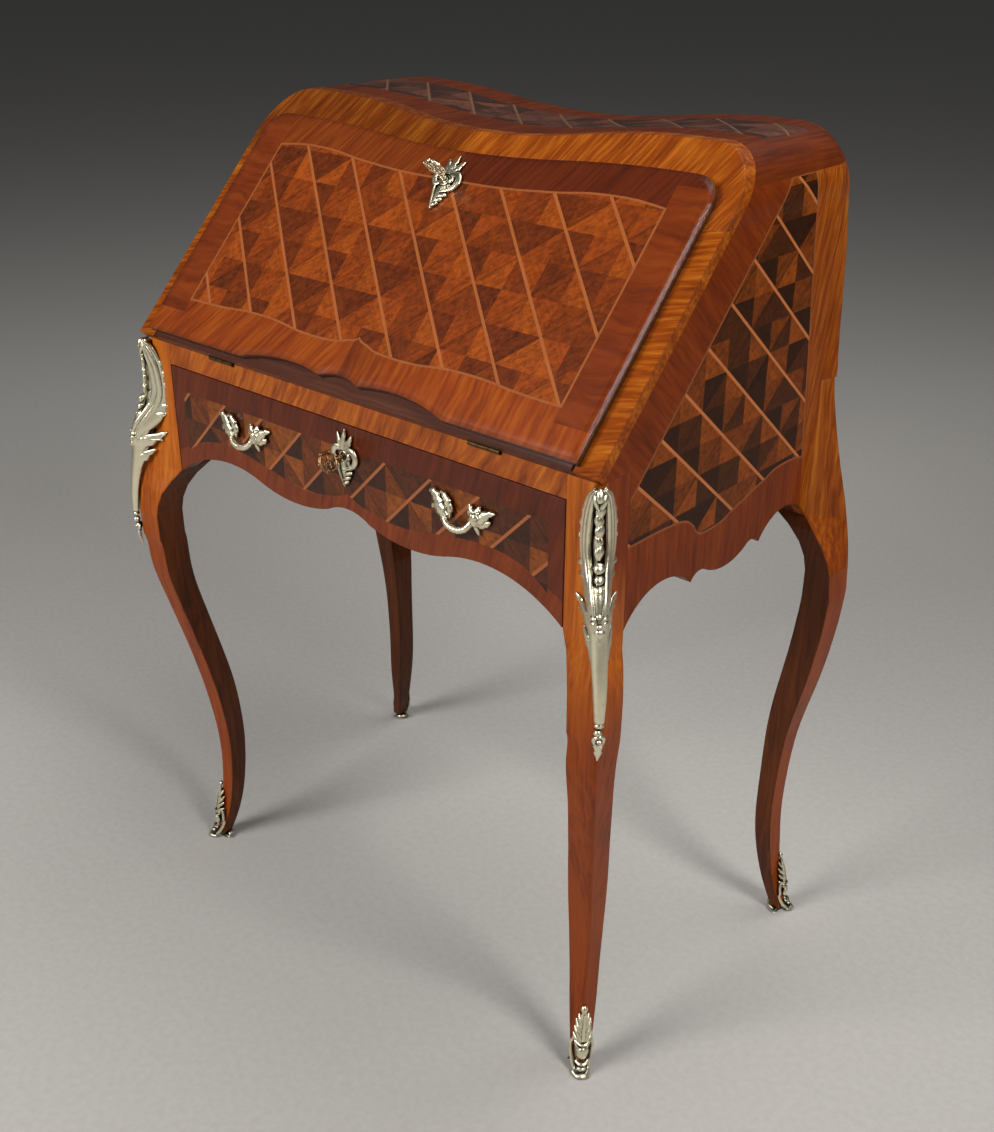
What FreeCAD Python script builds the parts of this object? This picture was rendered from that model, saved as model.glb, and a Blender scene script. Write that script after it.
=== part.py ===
import FreeCAD, Part
import math
import os
from types import SimpleNamespace

import Sketcher
from FreeCAD import Placement, Rotation, Vector

# Ladies writing desk with a slant front, in millimetres.
# +X is to the right of someone sitting at the desk, +Y to its back, +Z up.
# The origin is on the floor, at the middle of the desk's box.

SIZES = {
    # Case
    "case_width": 670,
    "case_depth": 410,
    "front_reach": 193.9,
    "bed_height": 731,
    "side_thickness": 27,
    "summit_rise": 260,
    "summit_sag": 18,
    "shoulder_drop": 66,
    "summit_inset": 85,
    "shoulder_radius": 46,
    "back_shoulder_radius": 64,
    "back_shoulder_tuck": 5,
    "side_flare": 6.5,
    "summit_thickness": 35,
    "dip_thickness": 27.5,
    "ceiling_radius": 25,
    "slant_angle": 46.2,
    "overrun": 20,
    # Back, rail, bed and lower sides
    "back_thickness": 10,
    "back_foot_drop": 131,
    "rail_height": 25,
    "rail_depth": 46,
    "bed_thickness": 16,
    "apron_thickness": 22,
    "apron_end_drop": 165,
    "apron_cusp_drop": 156,
    "apron_arch_rise": 26,
    "apron_middle_shift": 7,
    "apron_cusp_spread": 130,
    "apron_lobe_drop": 152,
    "apron_lobe_width": 74,
    "apron_lobe_bulge": 9,
    "apron_small_arch_rise": 6,
    # Posts and cabriole legs
    "post_width": 40,
    "post_depth": 43,
    "back_post_depth": 24,
    "post_chamfer": 8,
    "post_foot_drop": 159,
    "wood_foot_height": 8,
    "front_knee_bulge": 25,
    "front_knee_size": 38,
    "front_side_sweep": 34,
    "front_depth_sweep": 48.5,
    "back_side_bulge": 45,
    "back_depth_bulge": 15,
    "back_knee_size": 39,
    "back_side_sweep": 30,
    "back_depth_sweep": 14,
    # Gilt shoes
    "sabot_wall": 2,
    "sabot_toe": 5,
    "sabot_leaf_width": 10,
    "sabot_leaf_thickness": 3,
    # Gilt corner mounts
    "chute_width": 16.5,
    "chute_thickness": 6,
    "mount_lift": 6,
    # Lid
    "lid_inset": 12,
    "lid_gap": 2,
    "lid_edge_gap": 0.6,
    "lid_seat_gap": 0.5,
    "lip_thickness": 8.5,
    "lip_margin": 22,
    "lip_lap": 7,
    "lip_summit_inset": 46,
    "lip_radius": 28,
    "lip_foot": 6,
    "accolade_width": 300,
    "accolade_cusp_width": 56,
    "accolade_cusp_height": 12.5,
    "accolade_side_rise": 8,
    "accolade_middle_rise": 6,
    "leather_width": 510,
    "leather_start": 45,
    "leather_margin": 68.2,
    "leather_thickness": 1.5,
    # Lid hinges
    "hinge_forward": 1.3,
    "hinge_inset": 139,
    "leaf_length": 40,
    "leaf_width": 24,
    "leaf_thickness": 1.6,
    "knuckle_radius": 2.6,
    "pin_radius": 1.2,
    "pin_play": 0.05,
    "hinge_play": 0.4,
    # Locks and keys
    "lid_key_margin": 29.2,
    "drawer_key_drop": 61,
    "lock_width": 60,
    "lock_depth": 9.5,
    "lock_below_key": 28,
    "lock_play": 0.3,
    "bolt_width": 18,
    "bolt_thickness": 5,
    "bolt_length": 13,
    "bolt_throw": 5,
    "bolt_play": 0.2,
    "mortise_play": 1.5,
    "key_radius": 2.2,
    "key_tip_depth": 6,
    "key_collar_radius": 4.2,
    "key_collar_length": 5,
    "key_neck_length": 6,
    "key_bow_radius": 10.5,
    "key_bow_wire": 1.8,
    "drawer_key_turn": 50,
    "key_play": 0.05,
    "keyhole_radius": 3,
    # Escutcheons
    "escutcheon_height": 64,
    "escutcheon_width": 40,
    "escutcheon_thickness": 3,
    # Apron drawer
    "drawer_gap": 1.2,
    "drawer_front_thickness": 22,
    "drawer_corner_drop": 158.5,
    "drawer_lobe_drop": 132,
    "drawer_side_arch_rise": 19,
    "drawer_lobe_bulge": 9,
    "drawer_middle_arch_rise": 9,
    "drawer_side_arch_width": 149,
    "drawer_middle_arch_width": 64,
    "drawer_side_thickness": 12,
    "drawer_side_height": 90,
    "drawer_side_gap": 5,
    "drawer_back_gap": 24,
    "drawer_foot_drop": 119,
    "drawer_bottom_rise": 6,
    "drawer_bottom_thickness": 8,
    "drawer_back_drop": 10,
    "runner_width": 37,
    "runner_height": 14,
    "runner_play": 0.3,
    "guide_play": 0.6,
    # Drawer handles
    "handle_inset": 170,
    "bail_drop": 91.5,
    "bail_bend_radius": 32,
    "bail_angle": 80,
    "bail_standoff": 11,
    "bail_radius": 3.2,
    "handle_leaf_length": 36,
    "handle_leaf_width": 21,
    "handle_leaf_thickness": 3,
    "handle_leaf_angle": 40,
    "handle_boss_radius": 4.5,
    # Gallery inside the desk
    "gallery_depth": 150,
    "gallery_shelf_thickness": 10,
    "gallery_partition_thickness": 10,
    "gallery_headroom": 28.7,
    "gallery_partition_spread": 100,
    "gallery_partition_setback": 40,
    "small_height": 57,
    "small_gap": 0.8,
    "small_front_thickness": 12,
    "small_wall": 7,
    "small_length": 140,
    "small_bottom_thickness": 5,
    "small_knob_radius": 7,
    "small_knob_length": 15,
}

doc = FreeCAD.newDocument("ladies_desk")
parts = {}


class Size:
    """A number together with the sheet formula that drives it."""

    def __init__(self, value, formula):
        self.value = value
        self.formula = formula

    def __add__(self, other):
        other = as_size(other)
        return Size(self.value + other.value, f"({self.formula} + {other.formula})")

    def __sub__(self, other):
        other = as_size(other)
        return Size(self.value - other.value, f"({self.formula} - {other.formula})")

    def __mul__(self, other):
        other = as_size(other)
        return Size(self.value * other.value, f"{self.formula} * {other.formula}")

    def __truediv__(self, other):
        other = as_size(other)
        return Size(self.value / other.value, f"({self.formula}) / ({other.formula})")

    def __rsub__(self, other):
        return as_size(other) - self

    def __neg__(self):
        return Size(-self.value, f"(0 - {self.formula})")

    __radd__ = __add__
    __rmul__ = __mul__


def as_size(number):
    return number if isinstance(number, Size) else Size(number, repr(number))


def sine(angle):
    return Size(math.sin(math.radians(angle.value)), f"sin({angle.formula} * 1 deg)")


def cosine(angle):
    return Size(math.cos(math.radians(angle.value)), f"cos({angle.formula} * 1 deg)")


def fill_sheet():
    """Write every driving dimension in the sheet, one aliased cell each."""
    sheet = doc.addObject("Spreadsheet::Sheet", "sizes")
    for row, (name, value) in enumerate(SIZES.items(), 1):
        sheet.set(f"A{row}", name)
        sheet.set(f"B{row}", str(value))
        sheet.setAlias(f"B{row}", name)
    doc.recompute()
    return SimpleNamespace(**{name: Size(float(value), f"sizes.{name}") for name, value in SIZES.items()})


at = fill_sheet()

# Heights that hang from the bed or from the summits, so the desk keeps its make-up when one changes.
for stem in ("back_foot", "apron_end", "apron_cusp", "apron_lobe", "post_foot", "drawer_key",
             "drawer_corner", "drawer_lobe", "drawer_foot", "bail"):
    setattr(at, stem + "_height", at.bed_height - getattr(at, stem + "_drop"))
at.summit_height = at.bed_height + at.summit_rise
at.dip_height = at.summit_height - at.summit_sag
at.shoulder_height = at.summit_height - at.shoulder_drop
at.ceiling_summit_height = at.summit_height - at.summit_thickness
at.ceiling_dip_height = at.dip_height - at.dip_thickness

# A quarter circle's arc stands this share of its radius away from its chord.
QUARTER_BULGE_SHARE = 1 - math.sqrt(0.5)
# An arc from the middle of a wave's slope to its summit bulges by this share of the wave's rise.
WAVE_BULGE_SHARE = 0.125

half_width = at.case_width / 2
front = -at.front_reach
back = at.case_depth - at.front_reach
inner = half_width - at.side_thickness
at.summit_spread = half_width - at.summit_inset
at.lip_summit_spread = inner - at.lip_summit_inset
at.handle_spread = half_width - at.handle_inset
at.hinge_middle = half_width - at.hinge_inset
post_inner = half_width - at.post_width
post_back_of_front = front + at.post_depth
post_front_of_back = back - at.back_post_depth
hinge_line = front - at.hinge_forward
back_face = back - at.back_thickness
slope_sine = sine(at.slant_angle)
slope_cosine = cosine(at.slant_angle)


class Face:
    """A flat outer face: x to the right, along up the face, out towards the viewer."""

    def __init__(self, y, z, angle):
        self.y = y
        self.z = z
        self.angle = angle

    def point(self, along, out):
        y = self.y + along * cosine(self.angle) - out * sine(self.angle)
        z = self.z + along * sine(self.angle) + out * cosine(self.angle)
        return y, z


LEVEL = Face(Size(0.0, "0"), Size(0.0, "0"), Size(0.0, "0"))
LID = Face(hinge_line, at.bed_height, at.slant_angle)
DRAWER = Face(front, Size(0.0, "0"), Size(90.0, "90"))


def bind(thing, name, size):
    thing.setExpression(name, as_size(size).formula)


def place(thing, x, along, out, face=LEVEL):
    """Set a piece down at a point of a face, turned as the face is."""
    x = as_size(x)
    y, z = face.point(as_size(along), as_size(out))
    turn = Rotation(Vector(1, 0, 0), face.angle.value)
    thing.Placement = Placement(Vector(x.value, y.value, z.value), turn)
    for letter, size in (("x", x), ("y", y), ("z", z)):
        bind(thing, f"Placement.Base.{letter}", size)
    if face is not LEVEL:
        bind(thing, "Placement.Rotation.Angle", face.angle)
    return thing


def turn(thing, axis, angle):
    """Turn a placed piece about its own base instead of with its face."""
    angle = as_size(angle)
    thing.setExpression("Placement.Rotation.Angle", None)
    thing.Placement = Placement(thing.Placement.Base, Rotation(axis, angle.value))
    bind(thing, "Placement.Rotation.Angle", angle)


def keep(thing, label):
    """Count a finished solid as one of the desk's pieces."""
    thing.Label = label
    parts[label] = thing
    return thing


def board(name, x, along, out, face=LEVEL):
    """A square-edged board between two values on each of a face's three axes."""
    box = doc.addObject("Part::Box", name)
    for side, (low, high) in (("Length", x), ("Width", along), ("Height", out)):
        bind(box, side, as_size(high) - low)
    return place(box, x[0], along[0], out[0], face)


def rod(name, radius, x, along, out, face):
    """A round rod square to a face, from the first to the second value of out."""
    cylinder = doc.addObject("Part::Cylinder", name)
    bind(cylinder, "Radius", radius)
    bind(cylinder, "Height", as_size(out[1]) - out[0])
    return place(cylinder, x, along, out[0], face)


def cross_rod(name, radius, x, along, out, face=LEVEL):
    """A round rod that runs along X, between the two values of x."""
    cylinder = doc.addObject("Part::Cylinder", name)
    bind(cylinder, "Radius", radius)
    bind(cylinder, "Height", as_size(x[1]) - x[0])
    place(cylinder, x[0], along, out, face)
    turn(cylinder, Vector(0, 1, 0), 90)
    return cylinder


def joined(name, pieces):
    fuse = doc.addObject("Part::MultiFuse", name)
    fuse.Shapes = list(pieces)
    return fuse


def carved(name, base, tools):
    cut = doc.addObject("Part::Cut", name)
    cut.Base = base
    cut.Tool = tools[0] if len(tools) == 1 else joined(name + "_cutters", tools)
    cut.Refine = False
    return cut


def mirrored(name, source):
    twin = doc.addObject("Part::Mirroring", name)
    twin.Source = source
    twin.Normal = Vector(1, 0, 0)
    return twin


def keep_pair(stem, right):
    """Keep a right-hand piece and its left-hand twin."""
    keep(right, stem + "_right")
    keep(mirrored(stem + "_left", right), stem + "_left")


def origin_plane(body, role):
    return next(plane for plane in body.Origin.OriginFeatures if plane.Role == role)


def arc_between(start, end, bulge):
    """The arc from start to end that stands bulge to the right of the way there."""
    along = end - start
    right = Vector(along.y, -along.x, 0).normalize()
    half_chord = along.Length / 2
    radius = (half_chord ** 2 + bulge ** 2) / (2 * abs(bulge))
    centre = (start + end) / 2 + right * (bulge - math.copysign(radius, bulge))
    first, last = (start, end) if bulge > 0 else (end, start)
    angles = [math.atan2(point.y - centre.y, point.x - centre.x) for point in (first, last)]
    if angles[1] < angles[0]:
        angles[1] += 2 * math.pi
    return Part.ArcOfCircle(Part.Circle(centre, Vector(0, 0, 1), radius), *angles)


def fix(sketch, kind, places, size):
    """Add one driven dimension to a sketch."""
    number = sketch.addConstraint(Sketcher.Constraint(kind, *places, size.value))
    sketch.setExpression(f"Constraints[{number}]", size.formula)


def draw(sketch, corners):
    """Draw a closed outline through corners, each (x, y) or (x, y, bulge of the arc that reaches it)."""
    corners = [(as_size(c[0]), as_size(c[1]), c[2] if len(c) > 2 else None) for c in corners]
    spots = [Vector(x.value, y.value, 0) for x, y, bulge in corners]
    ends = []
    for number, (x, y, bulge) in enumerate(corners):
        start, end = spots[number - 1], spots[number]
        if bulge is None:
            sketch.addGeometry(Part.LineSegment(start, end), False)
        else:
            sketch.addGeometry(arc_between(start, end, bulge.value), False)
        ends.append((1, 2) if bulge is None or bulge.value > 0 else (2, 1))
    for number, (x, y, bulge) in enumerate(corners):
        follower = (number + 1) % len(corners)
        joint = (number, ends[number][1], follower, ends[follower][0])
        sketch.addConstraint(Sketcher.Constraint("Coincident", *joint))
        for kind, size, axis in (("DistanceX", x, -2), ("DistanceY", y, -1)):
            if size.value == 0:
                sketch.addConstraint(Sketcher.Constraint("PointOnObject", number, ends[number][1], axis))
            else:
                fix(sketch, kind, (-1, 1, number, ends[number][1]), size)
        if bulge is not None:
            across = x - corners[number - 1][0]
            up = y - corners[number - 1][1]
            rise = bulge if bulge.value > 0 else -bulge
            fix(sketch, "Radius", (number,), ((across * across + up * up) / 4 + rise * rise) / (2 * rise))


def sketch_at(body, name, role, offset):
    """An empty sketch on one of a body's planes, set off along the plane's normal."""
    sketch = body.newObject("Sketcher::SketchObject", name)
    sketch.AttachmentSupport = (origin_plane(body, role), [""])
    sketch.MapMode = "FlatFace"
    offset = as_size(offset)
    sketch.AttachmentOffset = Placement(Vector(0, 0, offset.value), Rotation())
    bind(sketch, "AttachmentOffset.Base.z", offset)
    return sketch


def plate(name, corners, role, low, high, face=LEVEL, x=0, along=0, out=0):
    """An outline padded from low to high along the normal of its plane."""
    body = doc.addObject("PartDesign::Body", name)
    sketch = sketch_at(body, name + "_outline", role, low)
    draw(sketch, corners)
    pad = body.newObject("PartDesign::Pad", name + "_pad")
    pad.Profile = sketch
    bind(pad, "Length", as_size(high) - low)
    return place(body, x, along, out, face)


def loft(name, *runs, ruled=False, role="XY_Plane"):
    """A solid through outlines, each (distance from the plane, corners), in one or more runs."""
    body = doc.addObject("PartDesign::Body", name)
    for run, sections in enumerate(runs, 1):
        sketches = []
        for number, (height, corners) in enumerate(sections, 1):
            sketch = sketch_at(body, f"{name}_run_{run}_section_{number}", role, height)
            draw(sketch, corners)
            sketches.append(sketch)
        skin = body.newObject("PartDesign::AdditiveLoft", f"{name}_run_{run}")
        skin.Profile = sketches[0]
        skin.Sections = sketches[1:]
        skin.Ruled = run in ruled if isinstance(ruled, tuple) else ruled
    return body


def backwards(path):
    """The same path walked the other way."""
    result = []
    bulge = None
    for corner in reversed(path):
        result.append(corner[:2] if bulge is None else (corner[0], corner[1], -bulge))
        bulge = corner[2] if len(corner) > 2 else None
    return result


def serpentine(half, radius, summit, dip, spread):
    """A top edge from right to left: rounded shoulders, two summits and a dip between them."""
    rise = summit - dip
    middle = (summit + dip) / 2
    return [
        (half, summit - radius),
        (half - radius, summit, radius * QUARTER_BULGE_SHARE),
        (spread, summit),
        (spread / 2, middle, rise * WAVE_BULGE_SHARE),
        (-spread / 2, middle, -rise / 2),
        (-spread, summit, rise * WAVE_BULGE_SHARE),
        (radius - half, summit),
        (-half, summit - radius, radius * QUARTER_BULGE_SHARE),
    ]


def frame_y(height):
    """Where the slanted frame round the lid stands at a height."""
    foot_y, foot_z = LID.point(0, at.lid_inset)
    return foot_y + (height - foot_z) * slope_cosine / slope_sine


def slope_along(height, out):
    """How far up the slant a height is reached, at a distance out from the lid's inner face."""
    return (height - at.bed_height - out * slope_cosine) / slope_sine


ceiling = serpentine(
    inner, at.ceiling_radius, at.ceiling_summit_height, at.ceiling_dip_height, at.lip_summit_spread
)
rail_foot = at.bed_height - at.rail_height
lid_panel_thickness = at.lid_inset + at.lid_seat_gap
lid_face_out = lid_panel_thickness + at.lip_thickness
lid_top_at_middle = slope_along(at.ceiling_dip_height, lid_panel_thickness) - at.lid_gap
lid_key_place = lid_top_at_middle - at.lid_key_margin
leather_end = lid_top_at_middle - at.leather_margin


# How much of the flare over the back leg is left at even steps up the side.
SIDE_FLARE_SHARES = [1.00, 0.74, 0.58, 0.36, 0.00]


def make_sides():
    foot_y, foot_z = LID.point(0, at.lid_inset)

    def level(front_y, flare):
        return [
            (inner, front_y),
            (half_width, front_y),
            (half_width, post_front_of_back),
            (half_width + flare, back),
            (inner, back),
        ]

    lower = [
        (at.bed_height, level(front, at.side_flare)),
        (foot_z, level(foot_y, at.side_flare)),
    ]
    upper = []
    for number, share in enumerate(SIDE_FLARE_SHARES):
        height = foot_z + (at.shoulder_height - foot_z) * (number / (len(SIDE_FLARE_SHARES) - 1))
        flare = at.side_flare * share - at.back_shoulder_tuck * (1 - share)
        upper.append((height, level(frame_y(height), flare)))
    keep_pair("side_panel", loft("side_panel_right", lower, upper))
    middle = (post_back_of_front + post_front_of_back) / 2 + at.apron_middle_shift
    cusp = at.apron_cusp_spread / 2
    lobe = at.apron_lobe_width / 2
    corners = [
        (post_back_of_front, at.apron_end_height),
        (middle - cusp, at.apron_cusp_height, -at.apron_arch_rise),
        (middle - lobe, at.apron_lobe_height, -at.apron_small_arch_rise),
        (middle + lobe, at.apron_lobe_height, at.apron_lobe_bulge),
        (middle + cusp, at.apron_cusp_height, -at.apron_small_arch_rise),
        (post_front_of_back, at.post_foot_height, -at.apron_arch_rise),
        (post_front_of_back, at.bed_height),
        (post_back_of_front, at.bed_height),
    ]
    low = half_width - at.apron_thickness
    keep_pair("side_apron", plate("side_apron_right", corners, "YZ_Plane", low, half_width))


def make_top_and_back():
    def profile(half, radius):
        outside = serpentine(half, radius, at.summit_height, at.dip_height, at.summit_spread)
        corners = [(half, at.shoulder_height)] + outside + [(-half, at.shoulder_height)]
        return corners + [(-inner, at.shoulder_height)] + backwards(ceiling) + [(inner, at.shoulder_height)]

    middle_radius = (at.shoulder_radius + at.back_shoulder_radius) / 2
    blank = loft("top_blank", [
        (-back, profile(half_width - at.back_shoulder_tuck, at.back_shoulder_radius)),
        (-post_front_of_back, profile(half_width, middle_radius)),
        (at.front_reach, profile(half_width, at.shoulder_radius)),
    ], ruled=True, role="XZ_Plane")
    low = at.shoulder_height - at.overrun
    high = at.summit_height + at.overrun
    ahead = front - at.overrun
    wedge_corners = [(frame_y(low), low), (frame_y(high), high), (ahead, high), (ahead, low)]
    reach = half_width + at.overrun
    wedge = plate("slant_wedge", wedge_corners, "YZ_Plane", -reach, reach)
    mouth = slope_along(at.ceiling_dip_height, lid_panel_thickness) - at.lid_gap - at.lid_gap
    bolt_high = lid_top_at_middle - at.lock_play + at.bolt_throw + at.mortise_play
    half_bolt = at.bolt_width / 2 + at.mortise_play
    bolt_out = (at.lock_depth - at.bolt_thickness) / 2
    mortise = board(
        "lid_bolt_mortise",
        (-half_bolt, half_bolt),
        (mouth, bolt_high),
        (bolt_out - at.mortise_play, bolt_out + at.bolt_thickness + at.mortise_play),
        LID,
    )
    sloped = carved("top_sloped", blank, [wedge])
    keep(carved("top_board", sloped, [mortise]), "top_board")
    corners = [(-post_inner, at.back_foot_height), (post_inner, at.back_foot_height)]
    corners += [(post_inner, at.bed_height), (inner, at.bed_height)] + ceiling
    corners += [(-inner, at.bed_height), (-post_inner, at.bed_height)]
    keep(plate("back_panel", corners, "XZ_Plane", -back, -back_face), "back_panel")


def hinge_spans():
    for side in (-1, 1):
        centre = at.hinge_middle * side
        yield centre - at.leaf_length / 2, centre + at.leaf_length / 2


def make_rail_and_bed():
    blank = board(
        "front_rail_blank",
        (-post_inner, post_inner),
        (front, front + at.rail_depth),
        (rail_foot, at.bed_height),
    )
    cutters = []
    notch = at.knuckle_radius + at.hinge_play
    leaf_end = hinge_line + at.knuckle_radius + at.leaf_width
    for number, (low, high) in enumerate(hinge_spans(), 1):
        span = (low - at.hinge_play, high + at.hinge_play)
        leaf = board(
            f"rail_leaf_recess_{number}",
            span,
            (front - at.overrun, leaf_end + at.hinge_play),
            (at.bed_height - at.leaf_thickness, at.bed_height + at.overrun),
        )
        knuckle = board(
            f"rail_knuckle_notch_{number}",
            span,
            (front - at.overrun, hinge_line + notch),
            (at.bed_height - notch, at.bed_height + at.overrun),
        )
        cutters += [leaf, knuckle]
    half_bolt = at.bolt_width / 2 + at.mortise_play
    bolt_y = front + at.drawer_front_thickness - at.lock_depth / 2
    half_thick = at.bolt_thickness / 2 + at.mortise_play
    cutters.append(board(
        "drawer_bolt_mortise",
        (-half_bolt, half_bolt),
        (bolt_y - half_thick, bolt_y + half_thick),
        (rail_foot - at.overrun, rail_foot + at.bolt_throw + at.mortise_play),
    ))
    keep(carved("front_rail", blank, cutters), "front_rail")
    bed = board(
        "writing_bed",
        (-post_inner, post_inner),
        (front + at.rail_depth, back_face),
        (at.bed_height - at.bed_thickness, at.bed_height),
    )
    keep(bed, "writing_bed")


drawer_half = post_inner - at.drawer_gap
drawer_side_outer = post_inner - at.drawer_side_gap
drawer_side_inner = drawer_side_outer - at.drawer_side_thickness
drawer_back_of_front = front + at.drawer_front_thickness
drawer_end = back_face - at.drawer_back_gap
drawer_top = rail_foot - at.drawer_gap


def make_runners():
    outer = half_width - at.apron_thickness
    top = at.drawer_foot_height - at.runner_play
    guide = drawer_side_outer + at.guide_play
    corners = [
        (outer - at.runner_width, top - at.runner_height),
        (outer, top - at.runner_height),
        (outer, at.bed_height),
        (post_inner, at.bed_height),
        (post_inner, rail_foot),
        (guide, rail_foot),
        (guide, top),
        (outer - at.runner_width, top),
    ]
    runner = plate("drawer_runner_right", corners, "XZ_Plane", -post_front_of_back, -post_back_of_front)
    keep_pair("drawer_runner", runner)


# Cabriole legs, in even steps of height. Each post row: share of the outward bulge, share of the
# inward tuck, share of the block's flush faces that is kept, share of the chamfer.
# Knee rows stand half a step apart. Each leg row below the knee: shares of the sweeps from knee to ankle, sideways and in depth,
# and share of the knee's size.
FRONT_POST_SHARES = [
    (0.00, 0, 1, 1.00),
    (0.00, 0, 1, 1.00),
    (0.00, 0, 1, 1.00),
    (0.06, 0, 1, 0.95),
    (0.30, 0, 1, 0.80),
    (0.68, 0, 1, 0.65),
]
FRONT_KNEE_SHARES = [
    (0.68, 0.00, 1.00, 0.65),
    (0.82, 0.45, 0.55, 0.57),
    (0.92, 0.76, 0.20, 0.50),
    (0.97, 0.93, 0.05, 0.45),
    (1.00, 1.00, 0.00, 0.40),
]
FRONT_LEG_SHARES = [
    (0.010, 0.010, 0.985),
    (0.088, 0.062, 0.940),
    (0.174, 0.132, 0.889),
    (0.289, 0.268, 0.846),
    (0.426, 0.409, 0.828),
    (0.562, 0.550, 0.810),
    (0.690, 0.681, 0.805),
    (0.804, 0.798, 0.792),
    (0.891, 0.887, 0.761),
    (0.954, 0.953, 0.716),
    (0.991, 0.991, 0.671),
    (0.991, 0.991, 0.626),
    (0.959, 0.958, 0.591),
    (0.895, 0.892, 0.546),
    (0.786, 0.780, 0.474),
    (0.617, 0.606, 0.389),
]
BACK_POST_SHARES = [
    (0.130, 0, 1, 0.60),
    (0.210, 0, 1, 0.60),
    (0.335, 0, 1, 0.60),
    (0.480, 0, 1, 0.60),
    (0.645, 0, 1, 0.60),
    (0.790, 0, 1, 0.60),
]
BACK_KNEE_SHARES = [
    (0.790, 0.00, 1.00, 0.60),
    (0.850, 0.45, 0.62, 0.55),
    (0.900, 0.76, 0.32, 0.50),
    (0.937, 0.93, 0.13, 0.45),
    (0.965, 1.00, 0.03, 0.40),
]
BACK_LEG_SHARES = [
    (0.000, 0.000, 1.000),
    (0.080, 0.070, 1.000),
    (0.200, 0.150, 0.995),
    (0.350, 0.250, 0.985),
    (0.530, 0.360, 0.960),
    (0.720, 0.480, 0.895),
    (0.880, 0.580, 0.810),
    (0.980, 0.640, 0.735),
    (1.040, 0.670, 0.685),
    (1.080, 0.700, 0.660),
    (1.100, 0.700, 0.645),
    (1.060, 0.650, 0.635),
    (0.960, 0.550, 0.595),
    (0.830, 0.400, 0.510),
    (0.630, 0.150, 0.430),
    (0.360, -0.200, 0.380),
]
ARRIS_SHARE = 0.4
BACK_DEPTH_SHARE = 1.12


class Leg:
    """One right-hand leg: its post, its knee and the sweep of its centre line."""

    def __init__(self, name, sign, rows, bulges, knee, sweeps, depth_share):
        self.name = name
        self.sign = sign
        self.post_rows, self.knee_rows, self.leg_rows = rows
        self.side_bulge, self.depth_bulge = bulges
        self.knee = knee
        self.width_share = 2 - depth_share
        self.depth_share = depth_share
        self.knee_stations = (len(self.knee_rows) + 1) // 2
        self.side_sweep, self.depth_sweep = sweeps
        self.outer_y = front if sign < 0 else back
        self.inner_y = post_back_of_front if sign < 0 else post_front_of_back

    def corners(self, inside, outside, flush, chamfer):
        """A level outline: inside and outside corners, flush faces and the chamfered arris."""
        outline = [
            (inside[0], flush[1]),
            (outside[0] - chamfer, outside[1]),
            (outside[0], outside[1] - chamfer * self.sign),
            (flush[0], inside[1]),
            inside,
        ]
        return outline if self.sign < 0 else list(reversed(outline))

    def post(self, bulge_share, tuck_share, keep_share, chamfer_share):
        outside = (
            half_width + self.side_bulge * bulge_share,
            self.outer_y + self.depth_bulge * bulge_share * self.sign,
        )
        knee_x = half_width + self.side_bulge - self.knee * self.width_share
        knee_y = self.outer_y + (self.depth_bulge - self.knee * self.depth_share) * self.sign
        inside = (
            post_inner + (knee_x - post_inner) * tuck_share,
            self.inner_y + (knee_y - self.inner_y) * tuck_share,
        )
        flush = (
            outside[0] + (half_width - outside[0]) * keep_share,
            outside[1] + (self.outer_y - outside[1]) * keep_share,
        )
        return self.corners(inside, outside, flush, at.post_chamfer * chamfer_share)

    def square(self, side_share, depth_share, size_share, extra=0, toe=0):
        """A four-sided outline below the knee, grown by extra, with its arris moved out by toe."""
        half = self.knee * size_share / 2 + extra
        x = half_width + self.side_bulge - self.knee / 2 - self.side_sweep * side_share
        depth = self.depth_bulge - self.knee / 2 - self.depth_sweep * depth_share
        y = self.outer_y + depth * self.sign
        inside = (
            x + half - half * 2 * self.width_share,
            y + (half - half * 2 * self.depth_share) * self.sign,
        )
        outside = (x + half + toe, y + (half + toe) * self.sign)
        return self.corners(inside, outside, outside, at.post_chamfer * size_share * ARRIS_SHARE)

    def height(self, station):
        """Stations count down from 0 at the post's foot, and up to the bed below 0."""
        if station <= 0:
            share = -station / (len(self.post_rows) - 1)
            return at.post_foot_height + (at.bed_height - at.post_foot_height) * share
        share = station / (self.knee_stations + len(self.leg_rows) - 1)
        return at.post_foot_height + (at.wood_foot_height - at.post_foot_height) * share

    def outline(self, station):
        if station <= 0:
            return self.post(*self.post_rows[station - 1])
        if station < self.knee_stations:
            return self.post(*self.knee_rows[station * 2])
        return self.square(*self.leg_rows[station - self.knee_stations])

    def arris(self, station):
        """Where the leg's outer corner stands at a station, or between two of them."""
        above = math.floor(station)
        share = station - above
        spots = []
        for number in (above, above + 1) if share else (above,):
            corners = self.outline(number)
            chamfered = corners if self.sign < 0 else list(reversed(corners))
            spots.append((chamfered[2][0], chamfered[1][1]))
        return tuple(a + (b - a) * share for a, b in zip(spots[0], spots[-1]))

    def last_row(self, share):
        """The leg's row at a share of the way up from its foot to the station above."""
        return tuple(low + (high - low) * share for low, high in zip(self.leg_rows[-1], self.leg_rows[-2]))

    def make(self):
        last = self.knee_stations + len(self.leg_rows)
        upper = [(self.height(n), self.outline(n)) for n in range(1 - len(self.post_rows), 1)]
        knee = [(self.height(n / 2), self.post(*row)) for n, row in enumerate(self.knee_rows)]
        knee.append((self.height(self.knee_stations), self.outline(self.knee_stations)))
        lower = [(self.height(n), self.outline(n)) for n in range(self.knee_stations, last)]
        return loft(self.name, upper, knee, lower, ruled=(2,))


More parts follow.
